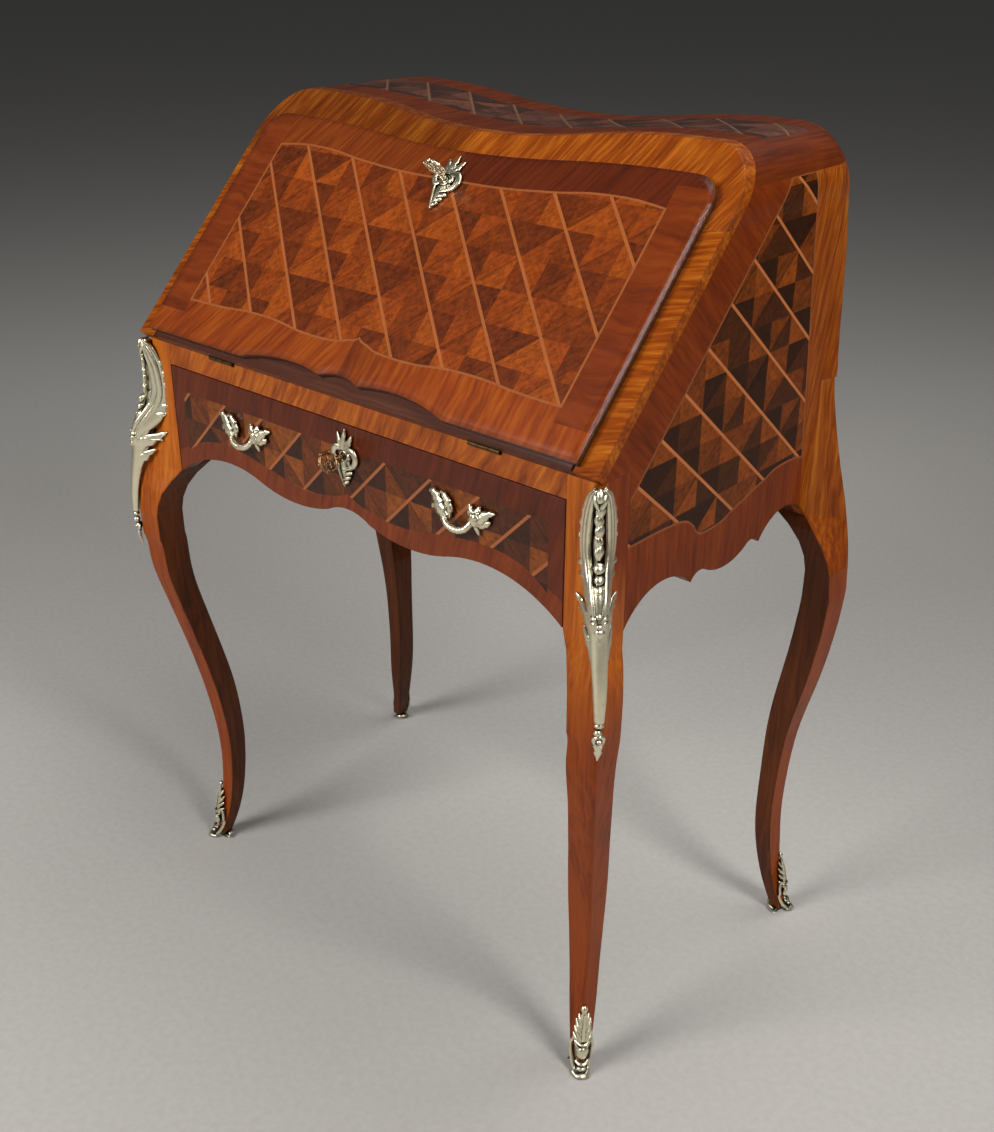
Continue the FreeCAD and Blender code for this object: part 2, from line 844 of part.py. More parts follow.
front_leg = Leg(
    "leg_front_right",
    -1,
    (FRONT_POST_SHARES, FRONT_KNEE_SHARES, FRONT_LEG_SHARES),
    (at.front_knee_bulge, at.front_knee_bulge),
    at.front_knee_size,
    (at.front_side_sweep, at.front_depth_sweep),
    1,
)
back_leg = Leg(
    "leg_back_right",
    1,
    (BACK_POST_SHARES, BACK_KNEE_SHARES, BACK_LEG_SHARES),
    (at.back_side_bulge, at.back_depth_bulge),
    at.back_knee_size,
    (at.back_side_sweep, at.back_depth_sweep),
    BACK_DEPTH_SHARE,
)

# A mount on a leg's arris: how far its ridge and its shoulders stand out, as shares of its
# thickness and of its width.
RIDGE_SHARE = 0.95
SHOULDER_SHARE = 0.12
# Corner mount: station of the leg, share of its full width, share of its thickness.
CHUTE_SHARES = [
    (-4.95, 0.25, 0.90),
    (-4.50, 0.62, 1.35),
    (-4.00, 0.84, 1.25),
    (-3.00, 1.00, 1.45),
    (-2.30, 1.00, 2.00),
    (-1.80, 1.06, 2.80),
    (-1.20, 1.10, 2.70),
    (-0.50, 0.85, 1.75),
    (0.00, 0.62, 1.10),
    (1.00, 0.50, 0.55),
    (2.00, 0.42, 0.50),
    (3.00, 0.34, 0.50),
    (3.30, 0.40, 0.65),
    (3.85, 0.18, 0.30),
]
# Leaf of a shoe: station of the leg, share of the leaf's width, share of its thickness.
LEAF_SHARES = [(17.3, 1.00, 1.00), (16.8, 0.60, 1.20), (16.4, 0.85, 1.10), (15.85, 0.25, 0.60)]
SABOT_TOP_SHARE = 0.7


def hugging(leg, station, width, thickness, lift):
    """A level outline that wraps the leg's arris: two wings, two shoulders and a ridge."""
    x, y = leg.arris(station)
    sign = leg.sign
    ridge = thickness * RIDGE_SHARE
    aside = (ridge - width) / 2
    out = (ridge + lift) / 2 + width * SHOULDER_SHARE
    outline = [
        (x - width / 2, y - width / 2 * sign),
        (x - width, y + lift * sign),
        (x + aside, y + out * sign),
        (x + ridge, y + ridge * sign),
        (x + out, y + aside * sign),
        (x + lift, y - width * sign),
    ]
    return leg.height(station), outline if sign < 0 else list(reversed(outline))


def make_legs_and_mounts():
    for leg in (front_leg, back_leg):
        solid = leg.make()
        stem = leg.name.replace("_right", "")
        keep_pair(stem, solid)
        name = stem.replace("leg", "sabot")
        foot = leg.leg_rows[-1]
        top_height = leg.height(leg.knee_stations + len(leg.leg_rows) - 1 - SABOT_TOP_SHARE)
        cup = loft(name + "_cup", [
            (top_height, leg.square(*leg.last_row(SABOT_TOP_SHARE), at.sabot_wall)),
            (at.wood_foot_height, leg.square(*foot, at.sabot_wall)),
            (as_size(0), leg.square(*foot, at.sabot_wall, at.sabot_toe)),
        ], ruled=True)
        leaf = loft(name + "_leaf", [
            hugging(leg, station, at.sabot_leaf_width * width, at.sabot_leaf_thickness * thickness,
                    at.sabot_wall * width)
            for station, width, thickness in LEAF_SHARES
        ], ruled=True)
        shoe = joined(name + "_casting", [cup, leaf])
        keep_pair(name, carved(name + "_right", shoe, [solid]))
        if leg is front_leg:
            casting = loft("chute_casting", [
                hugging(leg, station, at.chute_width * width, at.chute_thickness * thickness,
                        at.mount_lift * width)
                for station, width, thickness in CHUTE_SHARES
            ], ruled=True)
            keep_pair("chute", carved("chute_right", casting, [solid]))


def make_lid():
    half = inner - at.lid_gap
    summit = slope_along(at.ceiling_summit_height, lid_panel_thickness) - at.lid_gap
    corners = [(-half, at.lid_edge_gap), (half, at.lid_edge_gap)]
    corners += serpentine(half, at.ceiling_radius, summit, lid_top_at_middle, at.lip_summit_spread)
    blank = plate("lid_panel_blank", corners, "XY_Plane", 0, lid_panel_thickness, LID)
    half_lock = at.lock_width / 2 + at.lock_play
    low = lid_key_place - at.lock_below_key - at.lock_play
    cutters = [
        board(
            "lid_lock_recess",
            (-half_lock, half_lock),
            (low, summit + at.overrun),
            (-at.overrun, at.lock_depth + at.lock_play),
            LID,
        ),
        rod("lid_panel_keyhole", at.keyhole_radius, 0, lid_key_place, (0, lid_face_out), LID),
        board(
            "leather_recess",
            (-at.leather_width / 2, at.leather_width / 2),
            (at.leather_start, leather_end),
            (-at.overrun, at.leather_thickness),
            LID,
        ),
    ]
    notch = at.knuckle_radius + at.hinge_play
    leaf_end = at.knuckle_radius + at.leaf_width + at.hinge_play
    for number, (start, end) in enumerate(hinge_spans(), 1):
        span = (start - at.hinge_play, end + at.hinge_play)
        cutters.append(board(f"lid_leaf_recess_{number}", span, (-at.overrun, leaf_end),
                             (-at.overrun, at.leaf_thickness), LID))
        cutters.append(board(f"lid_knuckle_notch_{number}", span, (-at.overrun, notch),
                             (-at.overrun, notch), LID))
    keep(carved("lid_panel", blank, cutters), "lid_panel")
    half = half_width - at.lip_margin
    wing = at.accolade_width / 2
    cusp = at.accolade_cusp_width / 2
    corners = [
        (-half, at.lip_foot),
        (-wing, at.lip_foot),
        (-cusp, at.accolade_cusp_height, -at.accolade_side_rise),
        (cusp, at.accolade_cusp_height, -at.accolade_middle_rise),
        (wing, at.lip_foot, -at.accolade_side_rise),
        (half, at.lip_foot),
    ]
    lip_summit = slope_along(at.ceiling_summit_height, lid_panel_thickness) + at.lip_lap
    lip_dip = slope_along(at.ceiling_dip_height, lid_panel_thickness) + at.lip_lap
    corners += serpentine(half, at.lip_radius, lip_summit, lip_dip, at.lip_summit_spread)
    lip = plate("lid_face_blank", corners, "XY_Plane", lid_panel_thickness, lid_face_out, LID)
    hole = rod("lid_face_keyhole", at.keyhole_radius, 0, lid_key_place,
               (0, lid_face_out + at.overrun), LID)
    keep(carved("lid_face", lip, [hole]), "lid_face")
    leather = board(
        "lid_leather",
        (-at.leather_width / 2, at.leather_width / 2),
        (at.leather_start, leather_end),
        (0, at.leather_thickness),
        LID,
    )
    keep(leather, "lid_leather")


def make_hinges():
    """Back-flap hinges let in flush: the rail's leaf has the outer knuckles and the pin."""
    third = at.leaf_length / 3
    start = at.hinge_middle - at.leaf_length / 2
    stops = [start, start + third, start + third * 2, start + third * 3]
    inside_edge = at.knuckle_radius + at.hinge_play
    leaf_end = at.knuckle_radius + at.leaf_width

    def leaf(stem, face, out, spans, play):
        pieces = [board(stem + "_plate", (stops[0], stops[3]), (inside_edge, leaf_end), out, face)]
        for number, (low, high) in enumerate(spans, 1):
            ends = (low + play, high - play)
            pieces.append(cross_rod(f"{stem}_knuckle_{number}", at.knuckle_radius, ends, 0, 0, face))
            pieces.append(board(f"{stem}_web_{number}", ends, (0, leaf_end), out, face))
        return joined(stem + "_body", pieces)

    bed_face = Face(hinge_line, at.bed_height, Size(0.0, "0"))
    outer_spans = [(stops[0], stops[1]), (stops[2], stops[3])]
    fixed = leaf("bed_leaf", bed_face, (-at.leaf_thickness, 0), outer_spans, as_size(0))
    pin = cross_rod("hinge_pin", at.pin_radius, (stops[0], stops[3]), 0, 0, bed_face)
    keep_pair("hinge_bed_leaf", joined("hinge_bed_leaf_right", [fixed, pin]))
    swinging = leaf("lid_leaf", LID, (0, at.leaf_thickness), [(stops[1], stops[2])], at.hinge_play)
    bore = cross_rod("hinge_bore", at.pin_radius + at.pin_play, (stops[0], stops[3]), 0, 0, LID)
    keep_pair("hinge_lid_leaf", carved("hinge_lid_leaf_right", swinging, [bore]))


def make_lock(stem, face, key_along, edge, inside, outside, bow_turn):
    """Lock case let in behind a board, its bolt, its key and the plate outside."""
    half = at.lock_width / 2
    case = board(
        stem + "_lock_blank",
        (-half, half),
        (key_along - at.lock_below_key, edge),
        (inside, inside + at.lock_depth),
        face,
    )
    half_bolt = at.bolt_width / 2
    bolt_out = inside + (at.lock_depth - at.bolt_thickness) / 2
    play = at.bolt_play
    channel = board(
        stem + "_bolt_channel",
        (-half_bolt - play, half_bolt + play),
        (edge - at.bolt_length - play, edge + at.overrun),
        (bolt_out - play, bolt_out + at.bolt_thickness + play),
        face,
    )
    tip = inside + at.lock_depth - at.key_tip_depth
    socket = rod(stem + "_key_socket", at.key_radius + at.key_play, 0, key_along,
                 (tip - at.key_play, inside + at.lock_depth + at.overrun), face)
    keep(carved(stem + "_lock_case", case, [channel, socket]), stem + "_lock_case")
    bolt = board(
        stem + "_bolt",
        (-half_bolt, half_bolt),
        (edge - at.bolt_length, edge),
        (bolt_out, bolt_out + at.bolt_thickness),
        face,
    )
    keep(bolt, stem + "_bolt")
    collar_low = outside + at.escutcheon_thickness + at.lock_play
    collar_high = collar_low + at.key_collar_length
    bow_foot = collar_high + at.key_neck_length
    shank = rod(stem + "_key_shank", at.key_radius, 0, key_along, (tip, bow_foot), face)
    collar = rod(stem + "_key_collar", at.key_collar_radius, 0, key_along, (collar_low, collar_high), face)
    bow = doc.addObject("Part::Torus", stem + "_key_bow")
    bind(bow, "Radius1", at.key_bow_radius)
    bind(bow, "Radius2", at.key_bow_wire)
    place(bow, 0, key_along, bow_foot + at.key_bow_radius, face)
    turn(bow, *bow_turn)
    keep(joined(stem + "_key", [shank, collar, bow]), stem + "_key")
    make_escutcheon(stem, face, key_along, outside)


# Cartouche round a keyhole, from its lower tip up the right side: shares of its half width and of
# its height above the keyhole, and the bulge of the edge that reaches each, as a share of the width.
CARTOUCHE_SHARES = [
    (0.36, -0.40, 0.06),
    (0.66, -0.26, 0.08),
    (0.44, -0.12, 0.08),
    (1.00, 0.02, 0.10),
    (0.92, 0.20, 0.10),
    (0.60, 0.27, 0.05),
    (0.48, 0.38, -0.04),
    (0.24, 0.32, -0.03),
]
CARTOUCHE_TIP_SHARE = -0.52
CARTOUCHE_CREST_SHARE = 0.48


def make_escutcheon(stem, face, key_along, outside):
    height = at.escutcheon_height
    half = at.escutcheon_width / 2
    right = [(half * x, height * y, at.escutcheon_width * bulge) for x, y, bulge in CARTOUCHE_SHARES]
    crest = (0, height * CARTOUCHE_CREST_SHARE)
    tip = (0, height * CARTOUCHE_TIP_SHARE)
    left = [(-half * x, height * y) for x, y, bulge in reversed(CARTOUCHE_SHARES)]
    bulges = [None] + [at.escutcheon_width * row[2] for row in reversed(CARTOUCHE_SHARES)]
    left = [spot if bulge is None else (*spot, bulge) for spot, bulge in zip(left, bulges)]
    corners = right + [crest] + left + [(*tip, bulges[-1])]
    blank = plate(stem + "_escutcheon_blank", corners, "XY_Plane", 0, at.escutcheon_thickness,
                  face, 0, key_along, outside)
    hole = rod(stem + "_escutcheon_hole", at.keyhole_radius, 0, key_along,
               (outside - at.overrun, outside + at.overrun), face)
    keep(carved(stem + "_escutcheon", blank, [hole]), stem + "_escutcheon")


def make_drawer():
    wing = drawer_half - at.drawer_side_arch_width
    middle = at.drawer_middle_arch_width / 2
    corners = [
        (-drawer_half, at.drawer_corner_height),
        (-wing, at.drawer_lobe_height, -at.drawer_side_arch_rise),
        (-middle, at.drawer_lobe_height, at.drawer_lobe_bulge),
        (middle, at.drawer_lobe_height, -at.drawer_middle_arch_rise),
        (wing, at.drawer_lobe_height, at.drawer_lobe_bulge),
        (drawer_half, at.drawer_corner_height, -at.drawer_side_arch_rise),
        (drawer_half, drawer_top),
        (-drawer_half, drawer_top),
    ]
    blank = plate("drawer_front_blank", corners, "XZ_Plane", -drawer_back_of_front, -front)
    half_lock = at.lock_width / 2 + at.lock_play
    cutters = [
        board(
            "drawer_lock_recess",
            (-half_lock, half_lock),
            (at.drawer_key_height - at.lock_below_key - at.lock_play, drawer_top + at.overrun),
            (-at.drawer_front_thickness - at.overrun,
             at.lock_depth + at.lock_play - at.drawer_front_thickness),
            DRAWER,
        ),
        rod("drawer_keyhole", at.keyhole_radius, 0, at.drawer_key_height,
            (-at.drawer_front_thickness, at.overrun), DRAWER),
    ]
    keep(carved("drawer_front", blank, cutters), "drawer_front")
    floor = at.drawer_foot_height + at.drawer_bottom_rise
    side_top = at.drawer_foot_height + at.drawer_side_height
    side = board(
        "drawer_side_right",
        (drawer_side_inner, drawer_side_outer),
        (drawer_back_of_front, drawer_end),
        (at.drawer_foot_height, side_top),
    )
    keep_pair("drawer_side", side)
    back_board = board(
        "drawer_back",
        (-drawer_side_inner, drawer_side_inner),
        (drawer_end - at.drawer_side_thickness, drawer_end),
        (floor + at.drawer_bottom_thickness, side_top - at.drawer_back_drop),
    )
    keep(back_board, "drawer_back")
    bottom = board(
        "drawer_bottom",
        (-drawer_side_inner, drawer_side_inner),
        (drawer_back_of_front, drawer_end),
        (floor, floor + at.drawer_bottom_thickness),
    )
    keep(bottom, "drawer_bottom")


# Leaf at a handle's end, from the bail outwards: shares of its length and of its half width,
# and the bulge of the edge that reaches each, as a share of the width.
HANDLE_LEAF_SHARES = [
    (-0.10, -0.55, 0.10),
    (0.30, -1.00, 0.14),
    (0.62, -0.62, 0.10),
    (0.86, -0.10, 0.12),
    (1.00, 0.90, -0.08),
    (0.70, 0.40, -0.06),
    (0.42, 1.00, 0.14),
    (0.02, 0.80, 0.12),
]


def make_handles():
    """One-piece castings: a bail that bends down between two leaves."""
    half_angle = at.bail_angle / 2
    end_x = at.bail_bend_radius * sine(half_angle)
    end_z = at.bail_height + at.bail_bend_radius * (1 - cosine(half_angle))
    lean_cosine = cosine(at.handle_leaf_angle)
    lean_sine = sine(at.handle_leaf_angle)
    for name, side in (("left", -1), ("right", 1)):
        middle = at.handle_spread * side
        bail = doc.addObject("PartDesign::Body", f"bail_{name}")
        sketch = sketch_at(bail, f"bail_{name}_wire", "YZ_Plane", 0)
        sketch.addGeometry(Part.Circle(Vector(0, -1, 0), Vector(0, 0, 1), at.bail_radius.value), False)
        fix(sketch, "Radius", (0,), at.bail_radius)
        fix(sketch, "DistanceX", (-1, 1, 0, 3), -at.bail_standoff)
        fix(sketch, "DistanceY", (-1, 1, 0, 3), -at.bail_bend_radius)
        bend = bail.newObject("PartDesign::Revolution", f"bail_{name}_bend")
        bend.Profile = sketch
        bend.ReferenceAxis = (sketch, ["H_Axis"])
        bend.Midplane = True
        bind(bend, "Angle", at.bail_angle)
        place(bail, middle, front, at.bail_height + at.bail_bend_radius)
        pieces = [bail]
        for end in (-1, 1):
            outline = []
            for along, across, bulge in HANDLE_LEAF_SHARES:
                reach = at.handle_leaf_length * along
                aside = at.handle_leaf_width / 2 * across
                x = (reach * lean_cosine - aside * lean_sine) * end
                outline.append((x, reach * lean_sine + aside * lean_cosine, at.handle_leaf_width * bulge))
            if end < 0:
                outline = backwards(outline[-1:] + outline[:-1])
                outline = outline[-1:] + outline[:-1]
            label = f"handle_leaf_{name}_{'right' if end > 0 else 'left'}"
            x = middle + end_x * end
            pieces.append(plate(label, outline, "XY_Plane", 0, at.handle_leaf_thickness, DRAWER, x, end_z, 0))
            pieces.append(rod(label + "_boss", at.handle_boss_radius, x, end_z,
                              (0, at.bail_standoff + at.handle_boss_radius), DRAWER))
        keep(joined(f"handle_{name}", pieces), f"handle_{name}")


def make_gallery():
    gallery_front = back_face - at.gallery_depth
    shelf_foot = at.bed_height + at.small_height + at.small_gap
    shelf_top = shelf_foot + at.gallery_shelf_thickness
    shelf = board("gallery_shelf", (-inner, inner), (gallery_front, back_face), (shelf_foot, shelf_top))
    keep(shelf, "gallery_shelf")
    half = at.gallery_partition_thickness / 2
    keep(board("gallery_drawer_partition", (-half, half), (gallery_front, back_face),
               (at.bed_height, shelf_foot)), "gallery_drawer_partition")
    top = at.ceiling_dip_height - at.gallery_headroom
    corners = [
        (gallery_front, shelf_top),
        (back_face, shelf_top),
        (back_face, top),
        (gallery_front + at.gallery_partition_setback, top),
        (gallery_front, shelf_top + at.gallery_shelf_thickness, -at.gallery_partition_setback / 2),
    ]
    low = at.gallery_partition_spread - half
    high = at.gallery_partition_spread + half
    keep_pair("gallery_partition", plate("gallery_partition_right", corners, "YZ_Plane", low, high))


def make_small_drawers():
    left = at.gallery_partition_thickness / 2 + at.small_gap
    right = inner - at.small_gap
    face_y = back_face - at.gallery_depth
    foot = at.bed_height + at.runner_play
    top = at.bed_height + at.small_height
    wall = at.small_wall
    box_y = face_y + at.small_front_thickness
    end_y = face_y + at.small_length
    pieces = {
        "small_front": ((left, right), (face_y, box_y), (foot, top)),
        "small_side_inner": ((left, left + wall), (box_y, end_y), (foot, top - wall)),
        "small_side_outer": ((right - wall, right), (box_y, end_y), (foot, top - wall)),
        "small_back": ((left + wall, right - wall), (end_y - wall, end_y),
                       (foot + at.small_bottom_thickness, top - wall)),
        "small_bottom": ((left + wall, right - wall), (box_y, end_y),
                         (foot, foot + at.small_bottom_thickness)),
    }
    for stem, (x, y, z) in pieces.items():
        keep_pair(stem, board(stem + "_right", x, y, z))
    knob = doc.addObject("PartDesign::Body", "small_knob_right")
    sketch = sketch_at(knob, "small_knob_profile", "XZ_Plane", 0)
    reach = at.small_knob_length
    radius = at.small_knob_radius
    draw(sketch, [
        (0, 0),
        (radius * KNOB_ROSE_SHARE, 0),
        (radius * KNOB_NECK_SHARE, reach * KNOB_NECK_SHARE),
        (radius, reach * KNOB_BELLY_SHARE),
        (radius * KNOB_CROWN_SHARE, reach * KNOB_CROWN_HEIGHT_SHARE),
        (0, reach),
    ])
    turned = knob.newObject("PartDesign::Revolution", "small_knob_turning")
    turned.Profile = sketch
    turned.ReferenceAxis = (sketch, ["V_Axis"])
    turned.Angle = 360
    place(knob, (left + right) / 2, (foot + top) / 2, 0, Face(face_y, Size(0.0, "0"), Size(90.0, "90")))
    keep_pair("small_knob", knob)


KNOB_ROSE_SHARE = 0.8
KNOB_NECK_SHARE = 0.35
KNOB_BELLY_SHARE = 0.65
KNOB_CROWN_SHARE = 0.7
KNOB_CROWN_HEIGHT_SHARE = 0.92


def check_and_write():
    """Stop on any failed feature or solid, then write one file for each piece."""
    doc.recompute()
    failed = [item.Name for item in doc.Objects if {"Invalid", "Error"} & set(item.State)]
    for label, thing in parts.items():
        if thing.Shape.isNull() or not thing.Shape.isValid() or not thing.Shape.Solids:
            failed.append(label)
    if failed:
        raise SystemExit("failed: " + ", ".join(failed))
    os.makedirs("parts", exist_ok=True)
    for label, thing in parts.items():
        thing.Shape.exportStep(f"parts/{label}.step")
    print(len(parts), "pieces written")


make_sides()
make_top_and_back()
make_rail_and_bed()
make_runners()
make_legs_and_mounts()
make_lid()
make_hinges()
lid_lock_edge = lid_top_at_middle - at.lock_play
lid_bow_turn = (Vector(1, 0, 0), at.slant_angle - 90)
make_lock("lid", LID, lid_key_place, lid_lock_edge, as_size(0), lid_face_out, lid_bow_turn)
make_drawer()
drawer_lock_edge = drawer_top - at.lock_play
drawer_bow_turn = (Vector(0, 1, 0), at.drawer_key_turn)
make_lock("drawer", DRAWER, at.drawer_key_height, drawer_lock_edge,
          -at.drawer_front_thickness, as_size(0), drawer_bow_turn)
make_handles()
make_gallery()
make_small_drawers()
check_and_write()
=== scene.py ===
# %% [markdown]
# The looks of a ladies desk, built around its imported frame, which brings every board, leg and lock in its
# true place. This lesson adds veneer, polish and gilding, and models the cast mounts, whose leaves are too
# free for plain solids. All of it could be modelled again from nothing, but then the desk might no longer
# fit its own joints.

import math
from functools import partialmethod

import bmesh
import bpy
from mathutils import Matrix, Vector
from mathutils.bvhtree import BVHTree


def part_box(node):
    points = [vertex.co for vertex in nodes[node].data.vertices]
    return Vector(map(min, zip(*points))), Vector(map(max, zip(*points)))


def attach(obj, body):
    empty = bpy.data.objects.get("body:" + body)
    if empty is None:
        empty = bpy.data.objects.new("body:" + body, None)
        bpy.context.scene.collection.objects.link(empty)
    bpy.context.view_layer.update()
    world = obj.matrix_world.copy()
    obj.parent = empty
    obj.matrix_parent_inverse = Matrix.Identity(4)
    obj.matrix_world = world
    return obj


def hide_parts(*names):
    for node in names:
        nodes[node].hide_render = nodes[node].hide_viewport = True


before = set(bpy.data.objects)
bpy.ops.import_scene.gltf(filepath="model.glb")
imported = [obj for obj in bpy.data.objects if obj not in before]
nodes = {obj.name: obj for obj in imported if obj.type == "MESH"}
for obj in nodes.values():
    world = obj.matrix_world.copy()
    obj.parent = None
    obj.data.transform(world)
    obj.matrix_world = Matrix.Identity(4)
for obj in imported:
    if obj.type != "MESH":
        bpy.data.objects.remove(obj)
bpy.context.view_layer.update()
scene = bpy.context.scene
MILLIMETRE = 0.001
METRE = 1000.0

# %% [markdown]
# Every finish on the desk changes from point to point: grain, lozenges, gilding worn dark in its hollows.
# Painted pictures would blur close up. A sum on the place of each point stays sharp and fits any shape. A
# Wire is one value on its way through it, and adding or comparing two wires places the node that does it.

# %% Shader arithmetic
class Wire:
    """One value on its way through a shader."""

    def __init__(self, tree, socket=None):
        self.tree = tree
        self.socket = socket

    def node(self, kind, inputs, output=0, prepare=None, **settings):
        """Places any node, sets it up, joins its inputs and gives one of its outputs."""
        made = self.tree.nodes.new(kind)
        for name, value in settings.items():
            setattr(made, name, value)
        if prepare:
            prepare(made)
        for key, value in inputs.items():
            if isinstance(value, Wire):
                self.tree.links.new(value.socket, made.inputs[key])
            else:
                made.inputs[key].default_value = value
        return Wire(self.tree, made.outputs[output])

    def maths(self, operation, *others):
        """A Math node on this wire and any others."""
        return self.node("ShaderNodeMath", dict(enumerate((self, *others))), operation=operation)

    def __rsub__(self, other):
        return self.node("ShaderNodeMath", {0: other, 1: self}, operation="SUBTRACT")

    __add__ = __radd__ = partialmethod(maths, "ADD")
    __sub__ = partialmethod(maths, "SUBTRACT")
    __mul__ = partialmethod(maths, "MULTIPLY")
    __truediv__ = partialmethod(maths, "DIVIDE")
    __gt__ = partialmethod(maths, "GREATER_THAN")
    __lt__ = partialmethod(maths, "LESS_THAN")
    __abs__ = partialmethod(maths, "ABSOLUTE")


print("shader arithmetic ready")

# %% [markdown]
# The bands of veneer follow smooth lines. They could be cut into the mesh as edges. Worked out in the shader
# they leave the boards simple: the least of several distances is the distance into a shape with several
# sides.

# %% Lines and borders
def least(first, *others):
    """The smallest of several wires, which is above nought only inside all their borders."""
    for other in others:
        first = first.maths("MINIMUM", other)
    return first


def smooth_step(wire, low, high):
    """Nought at low, one at high, and an eased change between them."""
    inputs = {"Value": wire, "From Min": low, "From Max": high}
    return wire.node("ShaderNodeMapRange", inputs, interpolation_type="SMOOTHSTEP")


def curve(wire, points):
    """A line through points, each a place and a value, for a border that bends."""
    low, high = points[0][0], points[-1][0]
    bottom = min(value for place, value in points)
    top = max(value for place, value in points)

    def prepare(made):
        line = made.mapping.curves[0]
        while len(line.points) < len(points):
            line.points.new(0.5, 0.5)
        for knot, (place, value) in zip(line.points, points):
            knot.location = ((place - low) / (high - low), (value - bottom) / (top - bottom))
        made.mapping.update()

    share = (wire - low) / (high - low)
    return wire.node("ShaderNodeFloatCurve", {"Value": share}, prepare=prepare) * (top - bottom) + bottom


print("borders ready")

# %% [markdown]
# The desk is all warm woods under a clear polish. Blender's own colour numbers follow the light and not the
# eye, so screen values from 0 to 255 are given and straightened. Polish lays pale light over a wood, so a
# stain holds back its green and blue beforehand.

# %% Colours
STAIN_SHARES = (0.97, 0.93, 0.5)


def paint(red, green, blue):
    """A colour given in screen values, straightened by the usual screen curve."""
    def straight(value):
        value = value / 255
        return value / 12.92 if value <= 0.04045 else ((value + 0.055) / 1.055) ** 2.4
    return (straight(red), straight(green), straight(blue), 1.0)


def stain(*values):
    """The colour of a wood as it is under its polish."""
    return paint(*[value * share for value, share in zip(values, STAIN_SHARES)])


def choose(factor, off, on):
    """One colour where the factor is nought and another where it is one."""
    return factor.node("ShaderNodeMix", {0: factor, 6: off, 7: on}, 2, data_type="RGBA")


def shade(colour, amount):
    """The colour made lighter or darker by a wire around one."""
    grey = amount.node("ShaderNodeCombineColor", {0: amount, 1: amount, 2: amount})
    inputs = {0: 1.0, 6: colour, 7: grey}
    return amount.node("ShaderNodeMix", inputs, 2, data_type="RGBA", blend_type="MULTIPLY")


def ramp(wire, stops, interpolation="LINEAR"):
    """A colour read off a bar of stops, each a place and a colour."""
    def prepare(made):
        made.color_ramp.interpolation = interpolation
        bar = made.color_ramp.elements
        while len(bar) < len(stops):
            bar.new(0.5)
        for element, (place, colour) in zip(bar, stops):
            element.position = place
            element.color = colour
    return wire.node("ShaderNodeValToRGB", {0: wire}, prepare=prepare)


ORANGE = (stain(90, 32, 5), stain(132, 55, 10), stain(160, 80, 24))
AMBER = (stain(84, 33, 6), stain(140, 66, 16), stain(184, 108, 46))
HONEY = (stain(132, 60, 16), stain(180, 94, 34), stain(204, 122, 54))
CHESTNUT = (stain(84, 30, 6), stain(114, 48, 11), stain(140, 68, 22))
RUSSET = (stain(80, 28, 6), stain(112, 44, 10), stain(134, 60, 18))
UMBER = (stain(58, 19, 5), stain(86, 30, 8), stain(104, 42, 14))
STRING = paint(158, 88, 43)
print("colours ready: six woods and the string")

# %% [markdown]
# A finish is one material and the places it starts from. Places stretched to each piece would not let the
# veneers of two boards meet. Object coordinates share one frame, and are turned into millimetres, as a maker
# measures. A finish can also measure up the lid's slant from the hinge.

# %% A finish and its measures
HINGE_Y = -195.2
HINGE_Z = 731.0
SLANT = math.radians(46.2)


class Finish:
    """A material with its main shader and the wires it starts from, in millimetres."""

    def __init__(self, name):
        self.material = bpy.data.materials.new(name)
        self.material.use_nodes = True
        self.tree = self.material.node_tree
        self.shader = self.tree.nodes["Principled BSDF"]
        start = Wire(self.tree)
        place = start.node("ShaderNodeTexCoord", {}, "Object")
        facing = start.node("ShaderNodeTexCoord", {}, "Normal")
        self.x, self.y, self.z = [part * METRE for part in self.split(place)]
        self.facing_x, self.facing_y, self.facing_z = self.split(facing)

    def split(self, arrow):
        """The three parts of a place or a direction."""
        return [arrow.node("ShaderNodeSeparateXYZ", {0: arrow}, axis) for axis in range(3)]

    def set(self, **values):
        """Sets sockets of the main shader, to a wire or to a constant."""
        for name, value in values.items():
            socket = self.shader.inputs[name.replace("_", " ")]
            if isinstance(value, Wire):
                self.tree.links.new(value.socket, socket)
            else:
                socket.default_value = value

    def relief(self, height, strength, distance, **under):
        """Raises the surface by a bump, over an eased normal where one is given."""
        inputs = {"Height": height, "Strength": strength, "Distance": distance, **under}
        self.set(Normal=height.node("ShaderNodeBump", inputs))

    def lid_place(self):
        """Distance up the slant from the hinge, and out of it."""
        back = self.y - HINGE_Y
        up = self.z - HINGE_Z
        along = back * math.cos(SLANT) + up * math.sin(SLANT)
        out = up * math.cos(SLANT) - back * math.sin(SLANT)
        return along, out


def tell(material):
    """Says how many nodes a finish took, and hands it on."""
    print(material.name, len(material.node_tree.nodes), "nodes")
    return material


print("finishes measure from the hinge at", HINGE_Y, HINGE_Z)

# %% [markdown]
# Veneer is a thin sheet of wood whose grain shows as streaks that wander a little. A wave texture would
# repeat its stripes. Noise that is long along the grain and narrow across it never does, and it can run
# along a leg or across a band.

# %% Grain
WANDER_LENGTH, WANDER_WIDTH = 45.0, 60.0
BROAD_LENGTH, BROAD_WIDTH, BROAD_DEPTH = 1.6, 5.0, 90.0
FINE_SHARE = 0.62


def noise(first, second, third, detail=3.0, roughness=0.55, distortion=0.0):
    """A cloudy value around a half, for a place given by its three parts."""
    place = first.node("ShaderNodeCombineXYZ", {0: first, 1: second, 2: third})
    inputs = {"Vector": place, "Scale": 1.0, "Detail": detail, "Roughness": roughness,
              "Distortion": distortion}
    return first.node("ShaderNodeTexNoise", inputs)


